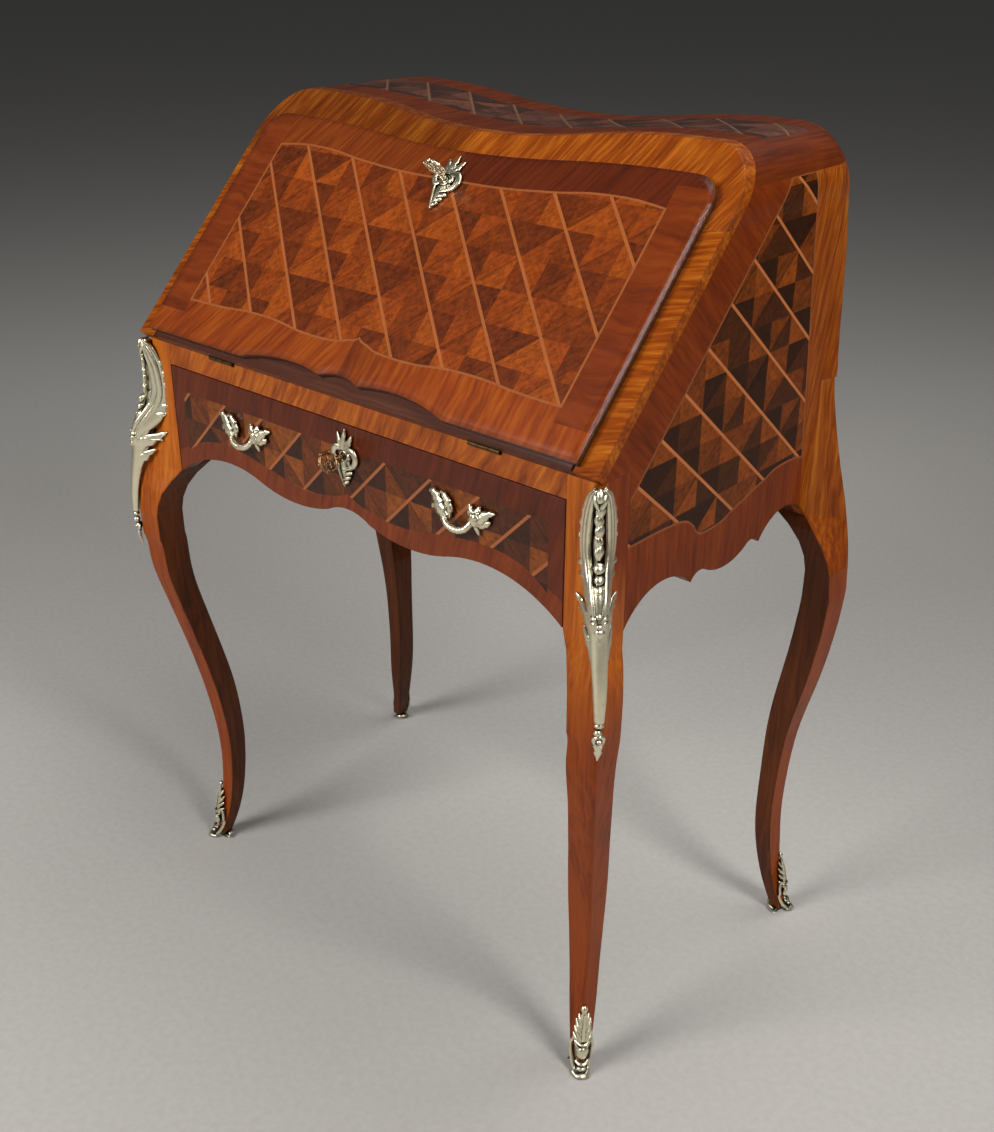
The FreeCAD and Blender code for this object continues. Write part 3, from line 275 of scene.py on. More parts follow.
def streaks(along, across, depth, width, wave, length=60.0):
    """Grain lines between nought and one, given a streak's size and how far it strays."""
    drift = noise(along / WANDER_LENGTH, across / WANDER_WIDTH, depth / WANDER_WIDTH, detail=2.0) - 0.5
    bent = across + drift * wave
    fine = noise(along / length, bent / width, depth / width, detail=4.0, roughness=0.62)
    broad = noise(along / (length * BROAD_LENGTH), bent / (width * BROAD_WIDTH), depth / BROAD_DEPTH,
                  detail=2.0)
    return fine * FINE_SHARE + broad * (1.0 - FINE_SHARE)


def veneer(grain, tones):
    """A wood's colour from its grain: dark, middle and light."""
    dark, middle, light = tones
    return ramp(grain, [(0.30, dark), (0.48, middle), (0.66, light)])


print("grain ready")

# %% [markdown]
# The lattice is parquetry: lozenges of veneer between light strings, each quartered so that its four grains
# catch the light in turn. It could be cut from hundreds of small faces, but veneer lies flush. Instead two
# slanted distances are divided by the size of a lozenge, and what is left over says which quarter a point is
# in.

# %% Parquetry
SEED_ACROSS, SEED_UP, SEED_QUARTER, SEED_DEPTH, SEED_START = 7.31, 5.77, 3.17, 1.9, 0.37


def parquetry(across, up, depth, period, lean, shift, tones, string, string_width, seam_width):
    """Quartered lozenges and the grain in them. Strings follow the first slant, dark seams the second."""
    first, second = across + up / lean - shift, across - up / lean - shift
    a, b = first / period, second / period
    part_a, part_b = a.maths("FRACT"), b.maths("FRACT")
    over = part_a > part_b
    beyond = (part_a + part_b) > 1.0
    quarter = over * 2.0 + beyond
    seed = noise(a.maths("FLOOR") * SEED_ACROSS + quarter * SEED_QUARTER, b.maths("FLOOR") * SEED_UP,
                 quarter * SEED_DEPTH + SEED_START, detail=0.0)
    stops = [(place / len(tones), tone) for place, tone in enumerate(tones)]
    tone = ramp(quarter / 4.2 + (seed - 0.5) * 1.5 + 0.12, stops, "CONSTANT")
    turned = over + beyond - over * beyond * 2.0
    with_grain = first * turned + second * (1.0 - turned)
    cross_grain = second * turned + first * (1.0 - turned)
    grain = streaks(with_grain, cross_grain, depth, width=4.0, wave=5.0)
    figure = noise(first / 11.0, second / 7.0, depth / 9.0, roughness=0.6, distortion=0.6)
    wood = shade(tone, grain * 1.3 + figure * 2.0 - 0.65 + (seed - 0.5) * 0.4)
    off_first = abs((a + 0.5).maths("FRACT") - 0.5) * period
    off_second = abs((b + 0.5).maths("FRACT") - 0.5) * period
    wood = choose(off_second < seam_width, wood, shade(tone, grain * 0.4 + 0.25))
    return choose(off_first < string_width, wood, shade(string, grain * 0.7 + 0.65)), grain


print("parquetry ready")

# %% [markdown]
# All the wood is French polished with a thin clear shellac that shows windows as pale sheens. A second mesh
# could stand over the wood, but the main shader has a coat for just that. A Bevel node rounds the edges in
# the light alone, since the boards are cut with sharp ones.

# %% French polish
COAT_SHARE = 0.6
PORES = 0.0004


def polish(finish, colour, grain, roughness=0.24, edge=0.0012, gloss=0.24, coat=None):
    """Polish over wood. The edge is the radius of its eased corners, in metres."""
    coat = gloss * COAT_SHARE if coat is None else coat
    finish.set(Base_Color=colour, Roughness=grain * 0.16 + roughness, Coat_Weight=coat, Coat_Roughness=0.1,
               Specular_IOR_Level=gloss)
    eased_edge = grain.node("ShaderNodeBevel", {"Radius": edge}, samples=4)
    finish.relief(grain, 0.12, PORES, Normal=eased_edge)
    return finish.material


print("polish ready")

# %% [markdown]
# The lid is the showpiece: a field of lattice with a wavy border of cross-banding, lighter below than above,
# and plain ends. The bands could be pieces of their own, but real ones are glued flush on one board, so the
# face is one finish. Its rounded rim is polished most, because hands open the lid there.

# %% Lid face
LID_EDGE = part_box("lid_face")[1].x * METRE
LID_FIELD = 270.0
LID_MIDDLE = 150.0
LID_LIP = 19.6
END_LOW, END_HIGH = 36.0, 292.0
RIM_WIDTH, RIM_LOW = 9.0, 8.0
HALF_LINE = 1.2


def lid_border(x, along, out):
    """The bands round the lid's lattice: two below, two above and one at each end."""
    end_grain = streaks(x, along, out, width=9.0, wave=26.0)
    rise_grain = streaks(along + x * 0.5, x - along * 0.5, out, width=4.5, length=70.0, wave=6.0)
    upright_grain = streaks(along, x, out, width=5.0, wave=9.0)
    upright = shade(veneer(upright_grain, ORANGE), smooth_step(x, 4.0, 80.0) * 0.34 + 0.74)
    lower = choose(x > -4.0, veneer(rise_grain, ORANGE), upright)
    upper = choose(smooth_step(x, -8.0, 8.0), veneer(rise_grain, CHESTNUT), veneer(rise_grain, UMBER))
    border = choose(along > LID_MIDDLE, lower, upper)
    end = (abs(x) > LID_FIELD) * (along > END_LOW) * (along < END_HIGH)
    return choose(end, border, veneer(end_grain, RUSSET))


def make_lid_face():
    finish = Finish("lid veneer")
    along, out = finish.lid_place()
    x, wide = finish.x, abs(finish.x)
    low = curve(wide, [(0, 63), (14, 57), (60, 51), (150, 57), (230, 53), (340, 52)])
    high = curve(wide, [(0, 257), (60, 257), (130, 262), (215, 270), (250, 268), (340, 240)])
    inside = least(along - low, high - along, LID_FIELD - wide)
    tones = (stain(99, 41, 10), stain(132, 58, 14), stain(115, 49, 11), stain(141, 66, 18))
    field, grain = parquetry(x, along - LID_MIDDLE, out, period=72.0, lean=1.05, shift=31.0, tones=tones,
                             string=STRING, string_width=2.3, seam_width=0.5)
    colour = choose(inside > 0.0, lid_border(x, along, out), field)
    on_line = (inside > -HALF_LINE) * (inside < HALF_LINE)
    colour = choose(on_line, colour, shade(STRING, grain * 0.7 + 0.5))
    # The face's own edges below its top are dark stained wood with painted shade, like the band under the
    # lid.
    colour = choose(out < LID_LIP, colour, shade(stain(74, 38, 26), grain * 0.8 + 0.5))
    rim = (wide > LID_EDGE - RIM_WIDTH) * (along > RIM_LOW)
    return polish(finish, colour, grain * (1.0 - rim), roughness=0.24 - rim * 0.1, edge=0.013, gloss=0.4,
                  coat=rim * 0.76 + 0.24)


LID_FACE = tell(make_lid_face())

# %% [markdown]
# Each side carries a darker lattice in a russet frame, with an amber band on its slanted front edge and a
# wavy apron below. Panel and apron are two boards and could have a finish each, but one that reads the
# shared frame runs over the joint without a break. The ends of the top use it too.

# %% Sides
SKIN = -1.2
INNER_FACE = 322.0
SLANT_BAND = 54.0
SIDE_MIDDLE, SIDE_TOP = 853.0, 956.0
REAR_LINE, REAR_LEAN = 232.492, 0.098
SIDE_LOW = [(-200, 652), (-130, 655), (-73, 653), (-40, 640), (-20, 626), (0, 626), (28, 632), (92, 648),
            (130, 655), (170, 651), (230, 640)]


def side_wood(finish):
    """The side's lattice and its borders, with two of their grains."""
    y, z = finish.y, finish.z
    along, out = finish.lid_place()
    low = curve(y, SIDE_LOW)
    past_rear = y + z * REAR_LEAN - REAR_LINE
    inside = least(-SLANT_BAND - out, 0.0 - past_rear, z - low, SIDE_TOP - z)
    tones = (stain(48, 22, 8), stain(106, 50, 14), stain(68, 32, 10), stain(126, 62, 19))
    field, grain = parquetry(y, z - SIDE_MIDDLE, finish.x, period=76.7, lean=0.84, shift=-1.0, tones=tones,
                             string=paint(180, 106, 60), string_width=2.5, seam_width=1.1)
    frame_grain = streaks(out, along, finish.x, width=5.0, wave=8.0)
    rear_grain = streaks(z + y, y * 2.0 - z * 0.5, finish.x, width=6.0, wave=12.0)
    foot_grain = streaks(z, y, finish.x, width=6.0, wave=8.0)
    border = choose(z < low, veneer(frame_grain, RUSSET), veneer(foot_grain, RUSSET))
    border = choose(smooth_step(past_rear, 1.0, 3.0), border, veneer(rear_grain, AMBER))
    colour = choose(inside > 0.0, border, field)
    on_line = (inside > -2.0 * HALF_LINE) * (inside < 0.0)
    return choose(on_line, colour, shade(paint(146, 82, 44), grain * 0.9 + 0.4)), grain, foot_grain


def make_side():
    finish = Finish("side veneer")
    along, out = finish.lid_place()
    colour, grain, foot_grain = side_wood(finish)
    slant_grain = streaks(finish.x + along * 0.35, along - finish.x * 0.3, out, 4.0, wave=5.0, length=55.0)
    colour = choose(out > SKIN, colour, veneer(slant_grain, AMBER))
    inner = (abs(finish.x) < INNER_FACE) * (out < SKIN)
    colour = choose(inner, colour, veneer(foot_grain, UMBER))
    return polish(finish, colour, grain, roughness=0.28, gloss=0.11)


SIDE = tell(make_side())

# %% [markdown]
# The top has a strip of dull lattice between two broad dark bands, an amber band on the cut slant, and
# rounded ends that carry on the lattice of the sides. These could be three materials on its faces. One
# shader that looks at where each point lies and which way it faces needs no faces picked out.

# %% Top
END_FACING, END_HEIGHT = 0.75, 957.0
FIELD_FRONT, FIELD_BACK, FIELD_END = 92.0, 175.0, 300.0


def make_top():
    finish = Finish("top veneer")
    x, y = finish.x, finish.y
    along, out = finish.lid_place()
    tones = (paint(60, 35, 27), paint(86, 51, 38), paint(72, 42, 31), paint(96, 57, 40))
    field, grain = parquetry(x, y, finish.z, period=69.6, lean=1.0, shift=17.4, tones=tones,
                             string=paint(116, 82, 60), string_width=2.0, seam_width=1.6)
    inside = least(y - FIELD_FRONT, FIELD_BACK - y, FIELD_END - abs(x))
    band_grain = streaks(y, x, finish.z, width=4.5, wave=5.0)
    band = veneer(band_grain, (stain(70, 24, 5), stain(98, 38, 9), stain(118, 52, 16)))
    colour = choose(inside > 0.0, band, field)
    side_colour, _, _ = side_wood(finish)
    colour = choose((abs(finish.facing_x) > END_FACING) * (finish.z < END_HEIGHT), colour, side_colour)
    slant_grain = streaks(along + x * 0.5, x - along * 0.4, out, width=4.0, wave=6.0)
    slant = shade(veneer(slant_grain, AMBER), smooth_step(x, -40.0, 10.0) * 0.4 + 0.62)
    colour = choose(out > SKIN, colour, slant)
    # Painted shade: faces that point down take the darker umber.
    colour = choose(finish.facing_z < -0.2, colour, veneer(band_grain, UMBER))
    return polish(finish, colour, grain)


TOP = tell(make_top())

# %% [markdown]
# The drawer front has a field of lattice in a dark band, redder along its wavy lower edge. The rail above it
# is cross-banded. The wavy line could be measured from the mesh. It is given as a few points, because the
# band keeps its own even line where the wood below it dips.

# %% Drawer front and rail
DRAWER_TOP, DRAWER_END, DRAWER_MIDDLE = 677.0, 275.0, 645.0
RED_BAND = 6.0
DRAWER_LOW = [(0, 627), (8, 622), (40, 614), (69, 611), (126, 619), (204, 628), (236, 624), (262, 612),
              (280, 600), (320, 585)]


def make_drawer_front():
    finish = Finish("drawer veneer")
    x, z = finish.x, finish.z
    low = curve(abs(x), DRAWER_LOW)
    inside = least(z - low, DRAWER_TOP - z, DRAWER_END - abs(x))
    tones = (stain(54, 25, 11), stain(102, 48, 20), stain(76, 35, 14), stain(126, 66, 28))
    field, grain = parquetry(x, DRAWER_MIDDLE - z, finish.y, period=64.5, lean=1.02, shift=27.0, tones=tones,
                             string=paint(160, 90, 50), string_width=2.3, seam_width=0.8)
    band_grain = streaks(z + x * 0.3, x - z * 0.3, finish.y, width=6.0, wave=10.0)
    band = choose(z < low + RED_BAND, veneer(band_grain, UMBER), veneer(band_grain, RUSSET))
    return polish(finish, choose(inside > 0.0, band, field), grain)


def make_rail():
    finish = Finish("rail banding")
    x, z = finish.x, finish.z
    grain = streaks(z + x * 0.6, x - z * 0.6, finish.y, width=6.0, wave=16.0)
    tones = (stain(96, 38, 8), stain(156, 75, 18), stain(198, 114, 44))
    return polish(finish, veneer(grain, tones), grain, roughness=0.22)


DRAWER_FRONT = tell(make_drawer_front())
RAIL = tell(make_rail())

# %% [markdown]
# A cabriole leg and its post are one piece, veneered lighter above the knee than below it, with painted
# shade on its inner faces and on the outer side of each front post. It could be split into faces with a
# material each, but they turn slowly into one another, so the woods and the painted shade are chosen by the
# way each point faces, with an eased change.

# %% Legs
KNEE_LOW, KNEE_HIGH = 420.0, 640.0
POST_LOW, POST_HIGH = 560.0, 660.0


def make_leg():
    finish = Finish("leg veneer")
    x, y, z = finish.x, finish.y, finish.z
    grain = streaks(z, x * 1.3 + y, x - y, width=7.0, length=110.0, wave=14.0)
    colour = veneer(grain, (stain(92, 36, 10), stain(138, 60, 18), stain(156, 74, 26)))
    post = choose(y > 0.0, veneer(grain, HONEY), veneer(grain, AMBER))
    colour = choose(smooth_step(z, KNEE_LOW, KNEE_HIGH), colour, post)
    # Painted shade: faces turned in towards the desk take a darker wood.
    outward_x = finish.facing_x * x.maths("SIGN")
    outward_y = finish.facing_y * y.maths("SIGN")
    hidden = outward_x.maths("MAXIMUM", outward_y) < 0.5
    inner = smooth_step(least(outward_x, outward_y), -0.3, -0.45) * hidden
    colour = choose(inner, colour, veneer(grain, (stain(48, 22, 12), stain(84, 40, 20), stain(104, 54, 26))))
    # Painted shade: the outer side of each front post takes the darker russet.
    outer_shade = smooth_step(outward_x, 0.6, 0.85) * smooth_step(z, POST_LOW, POST_HIGH) * (y < 0.0)
    colour = choose(outer_shade, colour, veneer(grain, RUSSET))
    back_knee = (finish.facing_z > 0.1) * (y > 0.0)
    return polish(finish, colour, grain, roughness=back_knee * 0.4 + 0.42, edge=0.005, gloss=0.16,
                  coat=0.1 - back_knee * 0.1)


LEG = tell(make_leg())

# %% [markdown]
# Drawer linings, shelves and the back are of one plain wood, and the inner board of the lid shows dark where
# it peeps out round the face: a dark stain with painted shade on it, as under the lid's edge. Each board
# could have its own grain, but one long grain from side to side suits them all.

# %% Plain woods
PLAIN = (paint(92, 48, 24), paint(128, 74, 38), paint(152, 94, 52))
DARK_STAIN_AND_SHADE = (paint(56, 28, 18), paint(76, 40, 28), paint(92, 52, 36))


def plain_grain(finish):
    return streaks(finish.x, finish.y + finish.z, finish.z - finish.y, width=6.0, length=160.0, wave=12.0)


def make_lining():
    finish = Finish("lining wood")
    grain = plain_grain(finish)
    return polish(finish, veneer(grain, PLAIN), grain, roughness=0.34)


def make_lid_panel():
    finish = Finish("lid panel")
    grain = plain_grain(finish)
    outward = finish.facing_z * math.cos(SLANT) - finish.facing_y * math.sin(SLANT)
    # Where the board peeps out round the face it is dark stain with painted shade.
    colour = choose(outward > -0.5, veneer(grain, PLAIN), veneer(grain, DARK_STAIN_AND_SHADE))
    return polish(finish, colour, grain, roughness=0.3)


LINING = tell(make_lining())
LID_PANEL = tell(make_lid_panel())

# %% [markdown]
# The open lid is a writing surface of red leather with two tooled gold lines round its edge. The pebbles of
# the skin could be modelled, but they are far smaller than a fingertip, so a bump is enough. The lines are
# bands of the distance to the nearest edge.

# %% Leather
LEATHER_HALF = 255.0
LEATHER_LOW, LEATHER_HIGH = 45.0, 215.0
GOLD_LINES = ((7.0, 9.0), (11.0, 11.8))
PEBBLE = 1.6


def make_leather():
    finish = Finish("tooled leather")
    along, out = finish.lid_place()
    inset = least(LEATHER_HALF - abs(finish.x), along - LEATHER_LOW, LEATHER_HIGH - along)
    gold = sum((inset > near) * (inset < far) for near, far in GOLD_LINES)
    pebbles = noise(finish.x / PEBBLE, along / PEBBLE, out, detail=2.0)
    colour = choose(gold, shade(paint(96, 34, 26), pebbles * 0.8 + 0.5), paint(206, 164, 84))
    finish.set(Base_Color=colour, Roughness=pebbles * 0.2 + 0.45)
    finish.relief(pebbles, 0.3, 0.0006)
    return finish.material


LEATHER = tell(make_leather())

# %% [markdown]
# The mounts are gilt bronze: bright on the high places, brown where dirt has settled together with painted
# shade in the hollows, and chased with small tools. The locks and hinges are plain brass. The dirt and shade
# could be painted in by hand, but ambient occlusion finds the hollows by itself.

# %% Metals
HOLLOW = 0.006
PATINA = 7.0
CHASING = 2.2


def make_metal(name, bright, dirt_and_shade, roughness):
    finish = Finish(name)
    x, y, z = finish.x, finish.y, finish.z
    patina = noise(x / PATINA, y / PATINA, z / PATINA, detail=4.0, roughness=0.6)
    # Ambient occlusion darkens the hollows: settled dirt and painted shade together.
    open_air = x.node("ShaderNodeAmbientOcclusion", {"Distance": HOLLOW}, 1, samples=8)
    clean_and_lit = smooth_step(least(patina * 0.5 + 0.62, 1.0) * open_air, 0.4, 0.85)
    finish.set(Base_Color=choose(clean_and_lit, dirt_and_shade, bright), Metallic=1.0, Roughness=patina * 0.22 + roughness)
    chased = noise(x / CHASING, y / CHASING, z / CHASING, detail=2.0, roughness=0.6)
    finish.relief(chased, 0.3, 0.001)
    return finish.material


GILT = tell(make_metal("gilt bronze", paint(244, 236, 206), paint(58, 47, 26), 0.22))
DARK_GILT = tell(make_metal("worn bronze", paint(158, 122, 86), paint(48, 30, 18), 0.28))
BRASS = tell(make_metal("lock brass", paint(96, 72, 42), paint(44, 30, 16), 0.36))

# %% [markdown]
# Now the frame is dressed. Each node could be given its finish by name, but there are dozens and their names
# share words, so a short table of words finds it. Whatever is not in it is a plain inner board.

# %% Dress the frame
FINISH_BY_WORD = {
    "lid_face": LID_FACE, "lid_panel": LID_PANEL, "lid_leather": LEATHER, "top_board": TOP,
    "drawer_front": DRAWER_FRONT, "front_rail": RAIL, "leg_": LEG, "side_panel": SIDE, "side_apron": SIDE,
    "sabot": GILT, "chute": GILT, "handle": GILT, "knob": GILT, "key": GILT, "escutcheon": GILT,
    "hinge": BRASS, "lock": BRASS, "bolt": BRASS,
}
for name, node in nodes.items():
    looks = [look for word, look in FINISH_BY_WORD.items() if word in name]
    node.data.materials.clear()
    node.data.materials.append(looks[0] if looks else LINING)
print("dressed:", len(nodes), "nodes in", len(bpy.data.materials), "materials")

# %% [markdown]
# The desk stands on a plain pale floor, so nothing draws the eye from it. A floor could be a thick slab, but
# only its upper face shows, so one large square with a faint nap is enough.

# %% Floor
FLOOR_REACH = 60.0
NAP = 9.0


def make_floor():
    mesh = bmesh.new()
    bmesh.ops.create_grid(mesh, x_segments=1, y_segments=1, size=FLOOR_REACH)
    data = bpy.data.meshes.new("floor")
    mesh.to_mesh(data)
    mesh.free()
    floor = bpy.data.objects.new("floor", data)
    scene.collection.objects.link(floor)
    finish = Finish("pale floor")
    nap = noise(finish.x / NAP, finish.y / NAP, finish.z, detail=4.0)
    finish.set(Base_Color=choose(nap, paint(172, 168, 162), paint(192, 188, 182)), Roughness=0.9)
    data.materials.append(tell(finish.material))


make_floor()

# %% [markdown]
# The camera stands where a person would, in front of the right corner and a little above the desk.
# It could be aimed by a constraint. Its bearing, tilt and roll are known, so its matrix is made from them.

# %% Camera
CAMERA_PLACE = (0.981, -1.0759, 1.194)
BEARING, TILT, ROLL = math.radians(41.1), math.radians(26.49), math.radians(0.3)
SENSOR_HEIGHT = 36.0
LENS = 42.636


def make_camera():
    back = Vector((math.sin(BEARING) * math.cos(TILT), -math.cos(BEARING) * math.cos(TILT), math.sin(TILT)))
    right = Vector((math.cos(BEARING), math.sin(BEARING), 0.0))
    up = back.cross(right)
    tipped_right = right * math.cos(ROLL) + up * math.sin(ROLL)
    tipped_up = up * math.cos(ROLL) - right * math.sin(ROLL)
    data = bpy.data.cameras.new("camera")
    data.sensor_fit = "VERTICAL"
    data.sensor_height = SENSOR_HEIGHT
    data.lens = LENS
    camera = bpy.data.objects.new("camera", data)
    turn = Matrix((tipped_right, tipped_up, back)).transposed().to_4x4()
    camera.matrix_world = Matrix.Translation(CAMERA_PLACE) @ turn
    scene.collection.objects.link(camera)
    scene.camera = camera


make_camera()
print("camera: lens", LENS)

# %% [markdown]
# The light is soft: a large disc for a window on each side, and a weaker one overhead. Small lamps would
# draw hard shadows and spark on the polish. Large ones lay broad sheens along the edges. The room is a dark
# grey that pales upwards, so the metal has something to show.

# %% Light and room
ROOM_STRENGTH = 0.1
ROOM_GREYS = [(0.0, (0.25, 0.25, 0.25, 1.0)), (0.45, (0.62, 0.64, 0.67, 1.0))]


def make_light(name, place, target, size, power):
    data = bpy.data.lights.new(name, "AREA")
    data.shape = "DISK"
    data.size = size
    data.energy = power
    lamp = bpy.data.objects.new(name, data)
    lamp.location = place
    lamp.rotation_euler = (Vector(target) - Vector(place)).to_track_quat("-Z", "Y").to_euler()
    scene.collection.objects.link(lamp)


def make_room():
    world = bpy.data.worlds.new("room")
    world.use_nodes = True
    start = Wire(world.node_tree)
    gaze = start.node("ShaderNodeTexCoord", {}, "Generated")
    greys = ramp(start.node("ShaderNodeSeparateXYZ", {0: gaze}, "Z"), ROOM_GREYS)
    background = world.node_tree.nodes["Background"]
    world.node_tree.links.new(greys.socket, background.inputs["Color"])
    background.inputs["Strength"].default_value = ROOM_STRENGTH
    scene.world = world


make_light("left window", (-0.9, -2.7, 2.1), (0, 0, 0.55), 1.5, 82.0)
make_light("right window", (2.5, -0.4, 2.5), (0, 0, 0.6), 1.0, 60.0)
make_light("ceiling", (0.5, 0.9, 2.8), (0, 0, 0.7), 1.6, 24.0)
make_room()
scene.view_settings.view_transform = "Standard"
print("light: two windows, a ceiling and a room")

# %% [markdown]
# The mounts are castings of leaves, stems and beads. They could be sculpted freely, which no script repeats.
# Here a leaf is a grid rolled into a tube round a smooth line, with notches for teeth and a dip for its
# vein. A casting is put together flat, as across, along and out in millimetres, and one rule carries it onto
# the desk, so a leaf can hug a leg or lie on a drawer.

# %% Leaves and beads
SEAM = 0.0005


def eased(points, steps):
    """A smooth line through points of any length."""
    last = len(points) - 1
    shares = [step / steps for step in range(steps)]
    line = []
    if last == 1:
        line = [[a + (b - a) * s for a, b in zip(*points)] for s in shares]
        return line + [list(points[last])]
    for i in range(last):
        before, here = points[max(i - 1, 0)], points[i]
        there, after = points[i + 1], points[min(i + 2, last)]
        for s in shares:
            line.append([
                0.5 * (2 * b + (c - a) * s + (2 * a - 5 * b + 4 * c - d) * s ** 2
                       + (3 * b - a - 3 * c + d) * s ** 3)
                for a, b, c, d in zip(before, here, there, after)
            ])
    return line + [list(points[last])]


def spots(count, across, along, turn=0.0):
    """Places spread evenly round an oval. The first is turned on by part of a step."""
    angles = [math.tau * (index + turn) / count for index in range(count)]
    return [(across * math.cos(angle), along * math.sin(angle)) for angle in angles]


class Casting:
    """A bronze mount built from sprigs and beads."""

    def __init__(self):
        self.mesh = bmesh.new()

    def sprig(self, path, teeth=0, bite=0.5, vein=0.3, back=0.35, steps=8, around=10):
        """A tapering stem or leaf. Each point gives across, along, out, half width and height."""
        line = eased(path, steps)
        last = len(line) - 1
        sheet = bmesh.ops.create_grid(self.mesh, x_segments=around, y_segments=last, size=1.0)["verts"]
        for point in sheet:
            row = round((point.co.y + 1.0) / 2.0 * last)
            u, v, w, width, height = line[row]
            ahead, behind = line[min(row + 1, last)], line[max(row - 1, 0)]
            flow = Vector((ahead[0] - behind[0], ahead[1] - behind[1]))
            flow = flow.normalized() if flow.length > 1e-6 else Vector((0.0, 1.0))
            if teeth:
                width *= 1.0 + bite * (0.5 - (row / last * teeth) % 1.0)
            angle = (point.co.x + 1.0) * math.pi
            reach = math.cos(angle) * width
            rise = math.sin(angle)
            rise *= height * (1.0 - vein * rise ** 3) if rise > 0 else height * back
            point.co = (u + flow.y * reach, v - flow.x * reach, w + rise)
        bmesh.ops.remove_doubles(self.mesh, verts=sheet, dist=SEAM)
        tube = [point for point in sheet if point.is_valid]
        ends = {edge for point in tube for edge in point.link_edges if edge.is_boundary}
        bmesh.ops.holes_fill(self.mesh, edges=list(ends), sides=0)

    def pair(self, path, **options):
        """A sprig and its mirror image."""
        self.sprig(path, **options)
        self.sprig([(-u, v, w, width, height) for u, v, w, width, height in path], **options)

    def bead(self, u, v, w, across, along, out):
        """A round or oval bead, given by its middle and its half sizes."""
        shape = Matrix.Translation((u, v, w)) @ Matrix.Diagonal((across, along, out, 1.0))
        bmesh.ops.create_uvsphere(self.mesh, u_segments=12, v_segments=8, radius=1.0, matrix=shape)

    def ring(self, u, v, w, radius, wire):
        """A round hoop lying flat."""
        path = [(u + across, v + along, w, wire, wire) for across, along in spots(16, radius, radius)]
        self.sprig(path + path[:1], vein=0.0, back=1.0, steps=2, around=8)

    def finish(self, name, place, body, replaced, look):
        """Carries the casting onto the desk and puts it in the place of its plain node."""
        for point in self.mesh.verts:
            point.co = Vector(place(*point.co)) * MILLIMETRE
        bmesh.ops.recalc_face_normals(self.mesh, faces=self.mesh.faces)
        for face in self.mesh.faces:
            face.smooth = True
        data = bpy.data.meshes.new(name)
        self.mesh.to_mesh(data)
        self.mesh.free()
        data.materials.append(look)
        piece = bpy.data.objects.new(name, data)
        scene.collection.objects.link(piece)
        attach(piece, body)
        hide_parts(replaced)
        print(name, len(data.polygons), "faces")


print("casting tools ready")

# %% [markdown]
# The mounts of the legs sit over a corner that curves in and out. A shrinkwrap could press them on, but it
# would flatten their leaves. Instead rays find the corner at each height, and the casting is folded round
# that line. Its relief stands straight out from the fold, so the leaves keep their thickness.

# %% Round a corner
DIAGONAL = math.sqrt(0.5)
RAY_START = 500
RAY_SPREADS = range(40, 160)
HEIGHTS = 30
FOLD_RADIUS = 3.0
DRAWN_WIDTH = 13.0
EDGE_LIFT = 5.0
RIDGE_SHIFT, RIDGE_WIDTH = 4.0, 16.0
RIDGE_LOW, RIDGE_RUN = 540.0, 80.0


def between(value, table):
    """The row of a sorted table at a value, by straight lines between its rows."""
    last = len(table) - 1
    index = next((i for i in range(1, last) if table[i][0] >= value), last)
    low, high = table[index - 1], table[index]
    share = (value - low[0]) / (high[0] - low[0])
    return [a + (b - a) * share for a, b in zip(low, high)]


def held(value):
    """The value kept between nought and one."""
    return min(max(value, 0.0), 1.0)


def corner_line(node, side, facing, low, high):
    """The outermost corner of a node at each height: height, distance out and distance across."""
    data = nodes[node].data
    tree = BVHTree.FromPolygons([v.co for v in data.vertices], [p.vertices for p in data.polygons])
    inward = Vector((-DIAGONAL * side, -DIAGONAL * facing, 0.0))
    table = []
    for step in range(HEIGHTS + 1):
        z = low + (high - low) * step / HEIGHTS
        hits = []
        for spread in RAY_SPREADS:
            x, y = (RAY_START + spread) * DIAGONAL * side, (RAY_START - spread) * DIAGONAL * facing
            hit = tree.ray_cast(Vector((x, y, z)) * MILLIMETRE, inward)[0]
            if hit:
                hits.append(((hit.x * side + hit.y * facing) * DIAGONAL * METRE, spread))
        if hits:
            table.append((z, *max(hits)))
    print(node, "corner", [round(value, 1) for value in (*table[0], *table[-1])])
    return table


def corner_place(table, side, facing, wrap, bed=None):
    """Folds a casting round a corner. Its own along is the height.

    A bed is the corner of the wood behind: the casting's edges are drawn back until they near the wood."""
    def fold(u, v):
        out = between(v, table)[1] - (math.hypot(u, FOLD_RADIUS) - FOLD_RADIUS) * wrap
        if bed:
            share = held((abs(u) - FOLD_RADIUS) / DRAWN_WIDTH)
            wood = between(v, bed)[1] - abs(u) + EDGE_LIFT
            out += min(wood - out, 0.0) * share * share * (3.0 - 2.0 * share)
        return out

    def place(u, v, w):
        slope = (fold(u + 0.3, v) - fold(u - 0.3, v)) / 0.6
        steep = math.hypot(1.0, slope)
        out = fold(u, v) + w / steep
        across = between(v, table)[2] + u - w * slope / steep
        if bed:
            across -= RIDGE_SHIFT * max(1.0 - abs(u) / RIDGE_WIDTH, 0.0) * held((v - RIDGE_LOW) / RIDGE_RUN)
        return (out + across) * DIAGONAL * side, (out - across) * DIAGONAL * facing, v
    return place


print("corner tools ready")

# %% [markdown]
# The corner mount begins with a pierced oval: three ribs on each side, a thin back behind them, and in the
# opening a chain of husks hung from a bud. The opening could be cut out of a plate with a boolean. Ribs laid
# side by side leave it open, and a deep keel behind the husks closes it.

# %% Corner mount: oval and husks
OVAL = [(5.5, 729, 0.8), (10.6, 721, 1.2), (14.4, 704, 1.5), (16, 688, 1.6), (16.4, 672, 1.6),
        (15.4, 656, 1.6), (13, 641, 1.5), (10.6, 626, 1.3), (9, 606, 1)]
RIBS = ((1.3, 3.4), (4, 4.4), (6.2, 3.6))
WIDEST = 1.6


